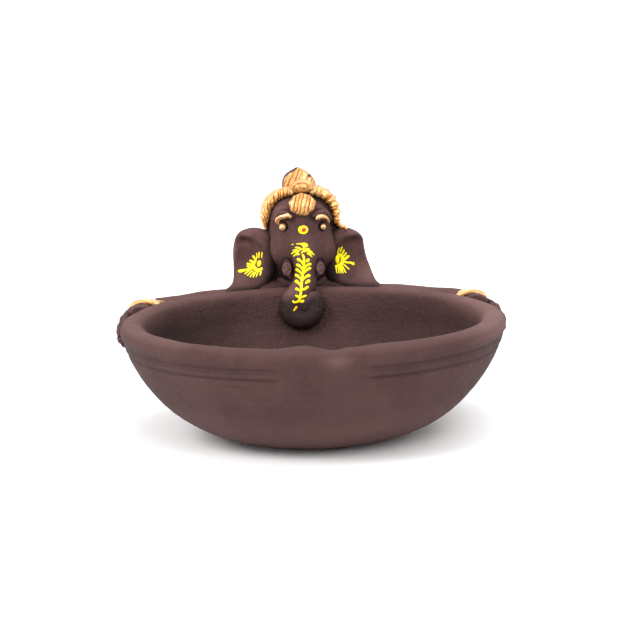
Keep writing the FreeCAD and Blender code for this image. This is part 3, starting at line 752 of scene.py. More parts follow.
def hollow_of(f, P, r=0.9):
    """0..1 where the surface is hemmed in: the field a little way out is smaller than it should be."""
    k = np.array([[1, -1, -1], [-1, -1, 1], [-1, 1, -1], [1, 1, 1]], float)
    e = 0.05
    g = sum(kk[None] * f(P + e * kk)[:, None] for kk in k) / (4 * e)
    g = g / (np.linalg.norm(g, axis=1)[:, None] + 1e-9)
    return np.clip((r - f(P + r * g)) / r, -1, 1)


def clay_attr(f, dark=None, r=1.2, gain=1.1):
    def go(P):
        h = hollow_of(f, P, r)
        # painted shade: darker where the surface is hemmed in, plus any shade that dark(P) lays on by place
        shade_amt = np.clip(h * gain, 0, 0.85)
        if dark is not None:
            shade_amt = np.clip(shade_amt + dark(P), 0, 0.92)
        # paler on standing edges: part wear, part painted light
        wear_and_painted_light = np.clip(-h * 1.3, 0, 0.35)
        return {"painted_shade": shade_amt, "wear_and_painted_light": wear_and_painted_light}

    return go


def trunk_core(P):
    d, t = chain(P, TRUNK, 60)
    return d, t


def trunk_field(P):
    d, t = trunk_core(P)
    # the coil's turns are pressed together: fill its middle, leaving a dimple
    d = smin(d, ell(P, (-0.8, 61.4, 39.2), (6.6, 3.6, 5.6)), 1.0)
    nub, _ = chain(P, [(-0.6, 59.4, 39.4, 1.3), (-0.2, 57.9, 39.0, 0.85), (0.0, 56.9, 38.7, 0.35)], 6)
    d = smin(d, nub, 0.9)
    cre, _ = chain(P, [(3.6, 58.0, 46.4, 0.1), (2.2, 57.4, 43.6, 0.1), (0.2, 56.8, 42.4, 0.1), (-2.4, 56.9, 41.6, 0.1), (-3.2, 56.8, 39.4, 0.1), (-2.2, 56.6, 37.6, 0.1), (0.0, 56.6, 36.9, 0.1), (2.0, 56.9, 38.2, 0.1), (2.1, 57.0, 40.0, 0.1)], 36)
    d = d + 0.42 * gauss(np.maximum(cre, 0), 0.8)
    # cross creases, faint, mostly on the lower run
    w = 0.09 * np.sin(t * 150.0) * smooth(t, 0.2, 0.45) * (0.4 + 0.6 * vnoise(P, 5.0, 1.2))
    d = d + w + 0.09 * vnoise(P, 5.0, 2.0) + 0.05 * vnoise(P, 2.0, 6.0)
    return d


LIP = [(-6.8, 73.0, 52.6, 1.2), (-5.0, 71.2, 51.0, 1.7), (-2.6, 70.2, 50.2, 2.0), (1.0, 70.0, 49.9, 2.0), (4.2, 70.6, 50.2, 1.8), (6.4, 72.2, 51.2, 1.2)]
CHIN = [(-9.6, 75.4, 48.6, 1.4), (-6.4, 73.0, 47.4, 1.7), (-2.4, 71.6, 47.2, 1.9), (2.8, 71.6, 47.2, 1.9), (6.6, 73.0, 47.2, 1.7), (9.6, 75.4, 48.4, 1.4)]


def lip_field(P):
    a, _ = chain(P, LIP, 16)
    b, _ = chain(P, CHIN, 16)
    d = smin(a, b, 0.7)
    return d + 0.08 * vnoise(P, 3.0) + 0.05 * np.sin(P[:, 0] * 2.6) * gauss(P[:, 2] - 49.0, 2.0)


def tusk_field(sx):
    if sx < 0:
        rows = [(-5.9, 71.5, 56.4, 2.4), (-6.6, 67.0, 55.4, 2.45), (-7.0, 63.0, 54.8, 2.4)]
        c, n, r = np.array((-7.3, 63.0, 54.8)), np.array((-0.30, -0.95, -0.02)), (1.95, 2.95)
    else:
        rows = [(6.2, 71.5, 56.0, 2.3), (6.9, 67.0, 55.0, 2.3), (7.3, 63.2, 54.5, 2.2)]
        c, n, r = np.array((7.4, 63.2, 54.4)), np.array((0.34, -0.93, -0.02)), (1.65, 2.75)
    n = n / np.linalg.norm(n)

    def f(P):
        d, _ = chain(P * np.array([1.22, 1, 0.86]) + np.array([-0.22 * rows[1][0], 0, 0.14 * rows[1][2]]), rows, 12)
        # the cut end: a nearly flat face, a little rough, with a soft edge
        q = (P - c) @ n
        rough = 0.10 * vnoise(P, 0.9, 3.0) + 0.12 * vnoise(P, 2.0, 1.0)
        d = smax(d, q + rough + 0.0, 0.45)
        return d + 0.05 * vnoise(P, 2.2)

    return f


# ears: an outline in X-Z, a thickness, and a scoop open to the outside
EAR_OUT = {
    "left": [(-13.0, 68.2), (-16.0, 70.2), (-20.2, 70.9), (-22.9, 70.4), (-25.6, 69.1), (-27.5, 66.8), (-28.3, 63.7), (-28.6, 59.5), (-28.7, 54.7), (-28.8, 50.6), (-29.5, 48.2), (-30.9, 46.2), (-32.6, 44.7), (-26.0, 43.0), (-19.4, 44.6), (-14.6, 47.2), (-11.9, 51.0), (-11.4, 56.6), (-11.6, 61.8), (-12.0, 65.4)],
    "right": [(12.6, 67.6), (15.4, 69.4), (18.6, 69.8), (21.2, 69.0), (23.9, 67.6), (25.9, 65.4), (26.6, 61.9), (27.4, 57.6), (28.9, 52.8), (30.3, 48.6), (31.9, 46.3), (33.4, 44.7), (27.0, 43.0), (19.2, 44.0), (14.2, 45.2), (10.8, 48.0), (9.9, 52.0), (10.4, 56.6), (11.2, 61.8), (11.8, 65.0)],
}


def ear_field(side):
    sx = -1 if side == "left" else 1
    O = spline(EAR_OUT[side], 72, closed=True)
    cx = sx * 20.5

    def mid(P):
        out = (P[:, 0] - cx) * sx
        return 76.9 + 0.16 * out + 0.010 * out * out - 0.05 * (P[:, 2] - 57)

    def f(P):
        # low down the ear turns forward and follows the rim
        ring = np.sqrt(np.maximum(77.8**2 - P[:, 0] ** 2, 1.0))
        Q = P
        P = P.copy()
        P[:, 1] -= (ring - mid(P)) * smooth(P[:, 2], 58.0, 45.5)
        s2 = poly2(P[:, 0], P[:, 2], O)
        y = P[:, 1] - mid(P)
        out = (P[:, 0] - cx) * sx
        half = 3.9 - 0.10 * out
        k = 3.3
        a, b = s2 + k, np.abs(y) - half + k
        d = np.minimum(np.maximum(a, b), 0) + np.hypot(np.maximum(a, 0), np.maximum(b, 0)) - k
        # scoop
        if side == "left":
            sc = ell(P, (-24.3, 70.6, 57.3), (9.2, 5.9, 10.6), rot("Y", -6))
            sc2 = ell(P, (-29.5, 72.2, 51.0), (9.0, 4.6, 8.5))
            hol = ell(P, (-24.6, 73.6, 64.6), (4.4, 3.4, 2.6), rot("Y", 18))
        else:
            sc = ell(P, (22.2, 70.6, 56.3), (9.6, 5.9, 10.4), rot("Y", 8))
            sc2 = ell(P, (28.6, 72.2, 50.6), (9.0, 4.6, 8.5))
            hol = ell(P, (22.6, 73.4, 63.4), (4.2, 3.2, 2.6), rot("Y", -18))
        sc = smin(sc, sc2, 3.0)
        d = smax(d, -sc, 1.3)
        d = smax(d, -hol, 1.6)
        # foot spreading on to the rim
        foot = ell(Q, (sx * 23.5, 74.0, 43.9), (12.0, 4.4, 2.7), rot("Z", -sx * 17.0))
        d = smin(d, foot, 2.2)
        return d + 0.13 * vnoise(P, 5.5, 3.0) + 0.05 * vnoise(P, 2.0, 1.0)

    return f


def rim_point(sx, deg, rad, z):
    a = math.radians(deg)
    return (sx * rad * math.sin(a), rad * math.cos(a), z)


def arm_rows(sx):
    rows = []
    for deg, rad, z, r in ((8, 77.8, 40.2, 6.0), (16, 78.4, 40.0, 6.3), (26, 78.7, 39.9, 6.2), (36, 78.6, 39.9, 6.1), (46, 78.5, 40.2, 6.1), (54, 78.3, 40.5, 6.1), (62, 77.6, 40.5, 5.6)):
        rows.append((*rim_point(sx, deg, rad, z), r))
    return rows


def rim_cut(P, gap=0.25):
    """Clay pressed on to the bowl keeps outside its wall."""
    r = np.hypot(P[:, 0], P[:, 1])
    K = bowl_profile()
    i = np.argmax(K[:, 1])
    z = np.clip(P[:, 2], 0.1, 46.1)
    zz, rr = K[4 : i - 1, 1], K[4 : i - 1, 0]
    wall = np.interp(z, zz, rr)
    slope = np.interp(z, zz, np.gradient(rr, zz))
    return (wall - r) / np.sqrt(1 + np.clip(slope, 0, 3) ** 2) - gap


def arm_field(sx):
    rows = arm_rows(sx)

    def f(P):
        d, t = chain(P, rows, 26)
        c = math.radians(1)
        ang = np.degrees(np.arctan2(P[:, 0] * sx, P[:, 1]))
        # a soft elbow and rolled-clay facets
        d = d + 0.14 * np.sin(ang * 0.33 + 0.5) + 0.12 * vnoise(P, 7.0, 2.0) + 0.06 * vnoise(P, 2.6, 5.0)
        return d

    return f


def hand_field(sx):
    palm = [(*rim_point(sx, 57.5, 78.0, 40.6), 5.5), (*rim_point(sx, 61.5, 77.4, 40.8), 5.6), (*rim_point(sx, 66.0, 76.3, 40.8), 5.2), (*rim_point(sx, 71.0, 75.3, 40.5), 4.5), (*rim_point(sx, 75.0, 74.7, 40.0), 3.6)]
    fingers = []
    for k, (zr, zt, reach, rad) in enumerate(((44.2, 43.2, 84.0, 73.6), (41.8, 41.0, 88.0, 74.3), (39.3, 38.4, 89.0, 73.9), (37.1, 36.2, 86.0, 73.1))):
        fingers.append([(*rim_point(sx, 69.5, rad + 2.1, zr), 1.9), (*rim_point(sx, 76.0, rad + 1.5, zr - 0.2), 1.95), (*rim_point(sx, (76 + reach) / 2, rad + 0.75, (zr + zt) / 2 + 0.3), 1.8), (*rim_point(sx, reach - 1.0, rad + 0.1, zt + 0.2), 1.6), (*rim_point(sx, reach, rad - 0.1, zt), 1.3)])
    thumb = [(*rim_point(sx, 63.0, 74.6, 44.6), 1.9), (*rim_point(sx, 67.5, 73.8, 45.6), 1.9), (*rim_point(sx, 71.5, 73.2, 46.0), 1.6), (*rim_point(sx, 74.0, 72.8, 45.9), 1.2)]

    def f(P):
        d, _ = chain(P, palm, 12)
        fd = None
        for rows in fingers:
            a, t = chain(P, rows, 10)
            a = a + 0.16 * gauss(t - 0.52, 0.05) + 0.12 * gauss(t - 0.26, 0.05)
            fd = a if fd is None else smin(fd, a, 0.15)
        d = smin(d, fd, 0.9)
        th, _ = chain(P, thumb, 8)
        d = smin(d, th, 0.8)
        # knuckle crease across the back of the hand
        ang = np.degrees(np.arctan2(P[:, 0] * sx, P[:, 1]))
        d = d + 0.42 * gauss(ang - 74.0 - 0.35 * (P[:, 2] - 40), 1.0) * smooth(P[:, 2], 34, 38)
        d = d + 0.20 * gauss(ang - 66.3 - 0.25 * (P[:, 2] - 40), 0.7) * smooth(P[:, 2], 41, 44)
        d = smax(d, rim_cut(P, 0.6), 0.3)
        return d + 0.12 * vnoise(P, 3.6, 1.0) + 0.05 * vnoise(P, 1.5, 6.0)

    return f


def torso_field(P):
    d = ell(P, (0, 77.6, 41.0), (27.0, 9.2, 7.6))
    d = smin(d, ell(P, (0, 73.6, 32.4), (20.5, 9.0, 9.6)), 5.0)
    d = smin(d, ell(P, (-15, 78.2, 42.0), (9.5, 7.0, 5.6)), 4.0)
    d = smin(d, ell(P, (15, 78.2, 42.0), (9.5, 7.0, 5.6)), 4.0)
    # a shallow line down the back, and the seam where the slab was pressed on to the bowl
    d = d + 0.5 * gauss(P[:, 0], 1.5) * smooth(P[:, 1], 78, 82)
    d = smax(d, rim_cut(P, 0.5), 0.8)
    return d + (0.16 + 0.28 * smooth(P[:, 1], 76, 82)) * vnoise(P * np.array([1, 1, 0.6]), 8.0, 1.0) + 0.06 * vnoise(P, 2.4, 4.0)


# ------------------------------------------------------------------ gold work
def scores(u, gaps, width, depth, seed, warp=0.0):
    """Scored lines at uneven spacing across u. Returns how deep, and 0..1 for the paint."""
    rs = np.random.RandomState(seed)
    lo, hi, step = gaps
    at = []
    x = lo
    while x < hi:
        at.append((x, rs.uniform(0.65, 1.15), rs.uniform(0.8, 1.25)))
        x += step * rs.uniform(0.62, 1.42)
    g = np.zeros(len(u))
    for x, a, w in at:
        g = np.maximum(g, a * np.exp(-(((u - x) / (width * w)) ** 2)))
    return depth * g, np.clip(g, 0, 1)


BAND = {
    "left": dict(path=[(-14.9, 70.9), (-15.1, 73.0), (-14.8, 75.8), (-13.9, 79.2), (-12.2, 82.2), (-9.6, 84.3), (-6.6, 85.6), (-3.4, 85.9)], w=[1.0, 1.75, 2.3, 2.5, 2.55, 2.4, 2.2, 2.0]),
    "right": dict(path=[(18.9, 69.7), (16.4, 70.6), (15.0, 73.2), (14.9, 76.8), (13.6, 80.4), (11.4, 83.2), (8.4, 85.2), (5.0, 85.9)], w=[0.6, 1.05, 1.5, 2.0, 2.4, 2.5, 2.45, 2.1]),
}


def band_field(side):
    B = BAND[side]
    rows = [(x, 0.0, z, w) for (x, z), w in zip(B["path"], B["w"])]
    K = spline(rows, 30)

    def base(P):
        Q = P.copy()
        Q[:, 1] = 0
        d2, t = chain(Q, K, 30, resample=False)
        # d2 is measured from the roll's own edge in X-Z; depth is a flattened roll
        w = np.interp(t, np.linspace(0, 1, len(K)), K[:, 3])
        y0 = 77.4 - 2.2 * smooth(t, 0.35, 1.0)
        half = 5.0
        a = (d2 + w) / w
        b = (P[:, 1] - y0) / half
        q = (np.abs(a) ** 2.6 + np.abs(b) ** 2.6) ** (1 / 2.6)
        return (q - 1) * w, t

    def pattern(P, t):
        if side == "left":
            u = P[:, 0] * 0.94 + (P[:, 2] - 70) * (0.42 - 0.012 * (P[:, 2] - 70)) + 0.18 * vnoise(P, 3.0, 2.0) + 0.10 * (P[:, 1] - 75)
            g, q = scores(u, (-24, 10, 1.30), 0.21, 0.42, 5)
            k = 1 - 0.85 * smooth(np.hypot(P[:, 0], P[:, 2] - 72), 16.0, 17.6)
            return g * k, q * (0.35 + 0.65 * k)
        ph = t * 25.0 + 0.35 * vnoise(P, 3.0, 4.0) + 0.12 * (P[:, 1] - 75) + 0.30 * (np.hypot(P[:, 0], P[:, 2] - 70) - 15.5)
        return scores(ph, (-3, 32, 2.6), 0.30, 0.42, 9)

    def f(P):
        d, t = base(P)
        g, _ = pattern(P, t)
        if side == "right":
            d = d - 0.26 * np.sin(t * 25.0 * 2 * math.pi / 3.1 + 0.6)
        return d + g * smooth(d, -1.6, -0.1) + 0.09 * vnoise(P, 1.6, 1.0) + 0.12 * vnoise(P, 4.0, 3.0)

    def at(P):
        d, t = base(P)
        _, g = pattern(P, t)
        inner = np.clip((np.hypot(P[:, 0] - 0.5, (P[:, 2] - 70.0)) - 13.2) / 1.6, 0, 1)
        bare = 0.6 * (1 - inner) * smooth(P[:, 1], 75.0, 77.0) + smooth(P[:, 1], 80.5, 82.4)
        return {"groove": (0.68 if side == "left" else 0.76) * g, "bare": np.clip(bare, 0, 1)}

    return f, at


PEND_C, PEND_N = np.array((0.35, 66.0, 81.3)), np.array((0.0, -0.93, 0.37))


def pendant_fields():
    n = PEND_N / np.linalg.norm(PEND_N)
    ux = np.array((1.0, 0, 0))
    uy = np.cross(n, ux)
    uy = uy / np.linalg.norm(uy)
    if uy[2] < 0:
        uy = -uy

    def local(P):
        q = P - PEND_C
        return q @ ux, q @ uy, q @ n

    def pat(a, b, P):
        u = a * 0.97 - b * 0.23 + 0.22 * vnoise(P, 2.4, 2.0)
        return scores(u, (-7, 7, 1.45), 0.22, 0.55, 14)

    def f(P):
        a, b, c = local(P)
        edge = 5.45 + 0.16 * np.sin(np.arctan2(b, a) * 9) + 0.12 * np.sin(np.arctan2(b, a) * 4 + 1)
        rr = np.hypot(a, b * 1.14) / edge
        d = (np.sqrt(rr**2 + (c / 1.75) ** 2 + 1e-9) - 1) * 1.7
        g, _ = pat(a, b, P)
        return d + g * smooth(c, -0.2, 0.5) + 0.06 * vnoise(P, 1.4)

    def at(P):
        a, b, c = local(P)
        _, g = pat(a, b, P)
        rr = np.hypot(a, b * 1.14) / 5.5
        return {"deep": np.full(len(P), 0.55), "groove": np.clip(0.76 * g * smooth(c, -0.2, 0.4) + 0.12, 0, 1), "bare": np.clip(0.9 * smooth(c, 0.25, -0.5) * (b < 2.5), 0, 1)}

    return f, at


def boss_fields():
    c = np.array((0.8, 70.6, 88.05))

    def curl(P):
        q = P - c
        a, b = q[:, 0] / 4.5, q[:, 2] / 2.5
        ang = np.arctan2(b, a)
        r = np.hypot(a, b)
        u = r * 1.9 - ang / (2 * math.pi)
        return np.abs((u + 0.15) - np.round(u + 0.15)), r

    def f(P):
        d = ell(P, c, (4.55, 2.9, 2.55))
        k, r = curl(P)
        g = gauss(k, 0.10) * smooth(r, 1.05, 0.7)
        nub = ell(P, c + np.array((0.5, -2.6, 0.1)), (1.25, 1.1, 0.85))
        d = smin(d + 0.42 * g * smooth(P[:, 1], 71.5, 69.5), nub, 0.4)
        return d + 0.07 * vnoise(P, 1.5)

    def at(P):
        k, r = curl(P)
        return {"deep": np.full(len(P), 0.6), "groove": np.clip(0.72 * gauss(k, 0.10) * smooth(r, 1.05, 0.7) * smooth(P[:, 1], 71.5, 69.5), 0, 1), "bare": np.clip(0.8 * smooth(P[:, 2], 86.6, 85.4), 0, 1)}

    return f, at


FINIAL = [(-6.6, 84.6), (-7.2, 87.6), (-6.8, 90.4), (-5.2, 92.5), (-2.6, 94.0), (-0.4, 94.9), (1.4, 94.1), (3.8, 92.6), (6.0, 90.4), (7.0, 87.8), (6.4, 84.6)]


def finial_fields():
    O = spline(FINIAL, 60, closed=True)

    def pat(P):
        u = P[:, 0] * 0.90 - (P[:, 2] - 88) * 0.43 + 0.25 * vnoise(P, 2.6, 5.0)
        return scores(u, (-9, 9, 1.85), 0.25, 0.60, 22)

    def f(P):
        P = P * np.array([1, 1, 1 / 1.04]) + np.array([0, 0, 84.5 * (1 - 1 / 1.04)])
        s2 = poly2(P[:, 0], P[:, 2], O)
        y = P[:, 1] - 80.3 - 0.05 * (P[:, 2] - 86)
        half = 3.0 - 0.22 * np.clip(P[:, 2] - 86, 0, 9)
        k = 0.95
        bulge = np.clip(-s2 / 4.0, 0, 1)
        b = np.abs(y) - (0.9 + (half - 0.9) * np.sqrt(1 - (1 - bulge) ** 2)) + k
        a = s2 + k
        d = np.minimum(np.maximum(a, b), 0) + np.hypot(np.maximum(a, 0), np.maximum(b, 0)) - k
        g, _ = pat(P)
        return 0.85 * (d + g * smooth(d, -1.5, -0.1) * smooth(-s2, 0.2, 1.3)) + 0.04 * vnoise(P, 1.5)

    def at(P):
        _, g = pat(P)
        s2 = poly2(P[:, 0], P[:, 2], O)
        left = smooth(P[:, 0] + 0.62 * (P[:, 2] - 86), -1.6, -3.6) * smooth(s2, -1.3, -0.5)
        return {"deep": np.ones(len(P)), "groove": np.clip(0.80 * g + 0.20, 0, 1), "bare": np.clip(0.95 * smooth(s2, -0.75, -0.25) * smooth(P[:, 0], 0.0, -1.5) + 0.9 * smooth(np.hypot(P[:, 0] - 4.4, P[:, 2] - 91.6), 0.9, 0.5) + smooth(P[:, 1], 81.2, 82.2), 0, 1)}

    return f, at


def bead_field(rows, squash=1.0, wob=0.06):
    def f(P):
        d, _ = chain(P, rows, 14)
        return d + wob * vnoise(P, 1.2, 2.0)

    return f


def gold_plain(P):
    return {"groove": np.clip(0.22 + 0.3 * vnoise(P, 1.3, 3.0), 0, 0.6), "bare": np.zeros(len(P))}


# paler gold for the eyes and brows: a painted highlight for their glints
def gold_painted_highlight(P):
    return {"groove": np.clip(0.12 + 0.3 * vnoise(P, 1.3, 3.0), 0, 0.6), "bare": np.zeros(len(P)), "pale": np.ones(len(P))}


BROWS = {
    "left": [(-9.7, 69.1, 73.1, 0.45), (-10.1, 68.8, 74.5, 0.85), (-9.3, 68.0, 75.8, 0.98), (-7.5, 67.0, 76.4, 0.92), (-5.8, 66.3, 76.7, 0.9), (-4.9, 66.1, 76.4, 0.68)],
    "right": [(6.3, 66.4, 75.1, 0.62), (6.9, 66.5, 75.6, 0.88), (8.3, 67.1, 75.9, 0.95), (9.9, 68.0, 75.5, 0.82), (11.0, 69.1, 74.4, 0.62), (11.4, 69.8, 73.0, 0.36)],
}


def bangle_fields(sx):
    a = math.radians(55.8 if sx < 0 else 57.8)
    c = np.array((sx * 78.2 * math.sin(a), 78.2 * math.cos(a), 40.3))
    rad = np.array((sx * math.sin(a), math.cos(a), 0))
    tan = np.array((sx * math.cos(a), -math.sin(a), 0))

    def local(P):
        q = P - c
        return q @ rad, q[:, 2], q @ tan

    def f(P):
        x, z, s = local(P)
        xs = x + 0.5
        rr = (np.abs(xs / 8.2) ** 2.5 + np.abs(z / 6.45) ** 2.5) ** 0.4
        ring = (rr - 1) * 6.7
        k = 0.42
        A, B = np.abs(ring + 0.05) - 0.75 + k, np.abs(s + 0.25 * np.sin(2 * np.arctan2(z, x)) + 0.10 * x) - (2.7 - 1.7 * smooth(-xs, 1.0, 7.0)) + k
        d = np.minimum(np.maximum(A, B), 0) + np.hypot(np.maximum(A, 0), np.maximum(B, 0)) - k
        if sx < 0:
            # the cuff's inner end runs out to a point along the crease behind the rim
            tail, _ = chain(P, [(*rim_point(sx, 55.0, 75.5, 45.6), 1.0), (*rim_point(sx, 52.6, 75.3, 45.6), 0.75), (*rim_point(sx, 50.0, 75.0, 45.3), 0.25)], 8)
            d = smin(d, tail, 0.9)
        return d + 0.06 * vnoise(P, 2.0)

    return f, gold_plain


# ------------------------------------------------------------------ make the pieces
built = {}


def put(node, f, lo, hi, h, mat, slot, at=None, times=2):
    o = sculpt(node + "_clay" if slot == "clay" else node + "_gold", f, lo, hi, h, at, times)
    dress(o, mat, slot, node)
    built[node] = o
    return o


def head_painted_shade(P):
    """Painted shade round the eyes, under the bands, by the tusks and in the mouth."""
    v = 0.80 * smooth(P[:, 2], 58, 51) * smooth(P[:, 1], 82, 77)
    for e in EYES.values():
        v = v + 1.0 * smooth(np.linalg.norm(P - np.array(e), axis=1), 2.55, 2.2)
    v = v + 0.85 * smooth(band_field("right")[0](P), 2.3, 1.5) * smooth(P[:, 2], 88, 85)
    v = v + 0.85 * smooth(band_field("left")[0](P), 1.0, 0.5) + 0.85 * smooth(np.linalg.norm((P - np.array([15.2, 78, 69.0])) / np.array([1, 2, 1]), axis=1), 4.4, 3.0) * (P[:, 0] > 12)
    for sx in (-1, 1):
        v = v + 0.7 * smooth(tusk_field(sx)(P), 1.1, 0.2)
    return v


def tusk_attr(f, sx):
    c = np.array((sx * 7.3, 63.0, 54.7))

    def go(P):
        a = clay_attr(f)(P)
        end = smooth(P[:, 1], 64.6, 63.4)
        n = 0.5 + 0.5 * vnoise(P, 0.7, 5.0)
        # painted shade on the tusk behind its cut end, with dark and pale flecks on the end itself
        return {"painted_shade": np.clip(a["painted_shade"] * (1 - end) + 0.5 * (1 - end) + 0.35 * end * smooth(n, 0.55, 0.85), 0, 0.9), "wear_and_painted_light": np.clip(0.22 * end * smooth(n, 0.8, 0.2), 0, 1)}

    return go


built["bowl"] = build_bowl()
# painted shade across the front of the torso's top, under the head and ears
put("torso", torso_field, (-31, 56, 17), (31, 89.5, 52), 0.62, CLAY, "clay", clay_attr(torso_field, lambda P: 0.5 * smooth(P[:, 2], 43, 46) * smooth(P[:, 1], 80, 76)))
put("head", head_field, (-17, 59, 42), (17, 94, 89), 0.36, CLAY, "clay", clay_attr(head_field, head_painted_shade))
# painted shade: the coil dark below z 46 except its right lobe, and the trunk's right side below z 62
put("trunk", trunk_field, (-11.5, 52.5, 29.5), (9.5, 78, 72), 0.30, CLAY, "clay", clay_attr(trunk_field, lambda P: 0.88 * smooth(P[:, 2], 46.0, 41.0) * (1 - 0.45 * gauss(np.hypot(P[:, 0] - 5.0, P[:, 2] - 42.0), 1.8)) + 0.40 * smooth(P[:, 0], 1.5, 4.5) * smooth(P[:, 2], 62, 54)))
# painted shade: the lip and chin darkened all over by 0.45
put("lower_lip", lip_field, (-12, 63.5, 44), (12, 74.5, 55), 0.26, CLAY, "clay", clay_attr(lip_field, lambda P: 0.45 + 0.0 * P[:, 2]))
for side, sx in (("left", -1), ("right", 1)):
    f = tusk_field(sx)
    put(side + "_tusk", f, (sx * 7.2 - 4.5, 60, 50), (sx * 7.2 + 4.5, 73.5, 61), 0.22, CLAY, "clay", tusk_attr(f, sx))
    f = ear_field(side)
    x0, x1 = sorted((sx * 8.5, sx * 36.5))
    # painted shade on the ears' fronts: strong next to the head, some low down and along the foot, a little all over
    put(side + "_ear", f, (x0, 66, 40.5), (x1, 86, 73), 0.36, CLAY, "clay", clay_attr(f, lambda P: (0.08 + 0.70 * smooth(np.abs(P[:, 0]), 17.5, 12.0) + 0.16 * smooth(P[:, 2], 58, 50) + 0.55 * smooth(P[:, 2], 47.6, 45.8) * smooth(np.abs(P[:, 0]), 33, 28)) * smooth(P[:, 1], 80, 76)))
    f = arm_field(sx)
    x0, x1 = sorted((sx * 5.0, sx * 78.5))
    # painted shade on the tops of the arms near the torso
    put(side + "_arm", f, (x0, 27, 32), (x1, 87, 49), 0.50, CLAY, "clay", clay_attr(f, lambda P: 0.45 * smooth(np.abs(P[:, 0]), 36, 20) * smooth(P[:, 2], 44.6, 45.8) * smooth(P[:, 1], 80, 77)))
    f = hand_field(sx)
    x0, x1 = sorted((sx * 57.0, sx * 80.5))
    # the hands darker all over by 0.22, with strong painted shade in their creases
    put(side + "_hand", f, (x0, -3, 31), (x1, 51, 49), 0.34, CLAY, "clay", clay_attr(f, lambda P: 0.22 + 0.0 * P[:, 2], r=0.8, gain=1.8))
    f, at = bangle_fields(sx)
    c = (sx * 64.5, 45.1, 40.35)
    put(side + "_bangle", f, (c[0] - 9, c[1] - 9, 31.5), (c[0] + 9, c[1] + 9, 49), 0.26, GOLD, "gold_paint", at)
    e = EYES[side]
    r = 1.52 if sx < 0 else 1.28
    f = lambda P, e=e, r=r: ell(P, (e[0] - 0.1, e[1] + 0.35, e[2] - 0.25), (r * 0.94, r, r * 1.05)) + 0.05 * vnoise(P, 1.0)
    put(side + "_eye", f, (e[0] - 2.4, e[1] - 2.4, e[2] - 2.4), (e[0] + 2.4, e[1] + 2.6, e[2] + 2.4), 0.14, GOLD, "gold_paint", gold_painted_highlight)
    f = bead_field([(q[0], q[1] - 0.25, q[2], q[3] * 1.18) for q in BROWS[side]])
    x0, x1 = sorted((sx * 3.0, sx * 13.5))
    put(side + "_brow", f, (x0, 64, 71.5), (x1, 72.5, 79.5), 0.16, GOLD, "gold_paint", gold_painted_highlight)
    f, at = band_field(side)
    x0, x1 = sorted((sx * 1.2, sx * 19.5))
    put(side + "_crown_band", f, (x0, 70, 66.5), (x1, 84.5, 89.5), 0.20, GOLD, "gold_paint", at)
f, at = pendant_fields()
put("forehead_pendant", f, (-6.5, 62.6, 75), (7.2, 70.5, 88), 0.17, GOLD, "gold_paint", at)
f, at = boss_fields()
put("crown_boss", (lambda P, f=f: f((P - np.array([0.6, 70, 88])) / np.array([1.12, 1.05, 1.2]) + np.array([0.6, 70, 88])) * 1.1), (-6.6, 65, 83.6), (8.0, 75.6, 92.6), 0.16, GOLD, "gold_paint", at)
f, at = finial_fields()
put("crown_finial", f, (-8.6, 76, 83.2), (8.4, 84.6, 95.9), 0.19, GOLD, "gold_paint", at)

# ------------------------------------------------------------------ the camera
# Three degrees to the figure's left, ten above the rim, 0.85 m off, tilted a little.
AZ, EL, DIST, ROLL = math.radians(-3.0), math.radians(9.8), 850.0, math.radians(1.45)
back = np.array((math.sin(AZ) * math.cos(EL), -math.cos(AZ) * math.cos(EL), math.sin(EL)))
EYE = np.array((0, 0, 46.0)) + back * DIST
right = np.cross(-back, (0, 0, 1.0))
right /= np.linalg.norm(right)
up = np.cross(right, -back)
cam_right = right * math.cos(ROLL) - up * math.sin(ROLL)
cam_up = up * math.cos(ROLL) + right * math.sin(ROLL)
# aim a hair above the rim's middle
aim = -back + cam_up * (2.8 / 2199.7)
aim /= np.linalg.norm(aim)
cam_up = np.cross(cam_right, aim)
cam_data = bpy.data.cameras.new("camera")
cam = bpy.data.objects.new("camera", cam_data)
bpy.context.scene.collection.objects.link(cam)
M = Matrix.Identity(4)
for k in range(3):
    M[k][0], M[k][1], M[k][2], M[k][3] = cam_right[k], cam_up[k], -aim[k], EYE[k] * MM
cam.matrix_world = M
cam_data.sensor_width = 36.0
cam_data.lens = 2199.7 * 36.0 / 625.0
cam_data.clip_start, cam_data.clip_end = 0.05, 20.0
bpy.context.scene.camera = cam

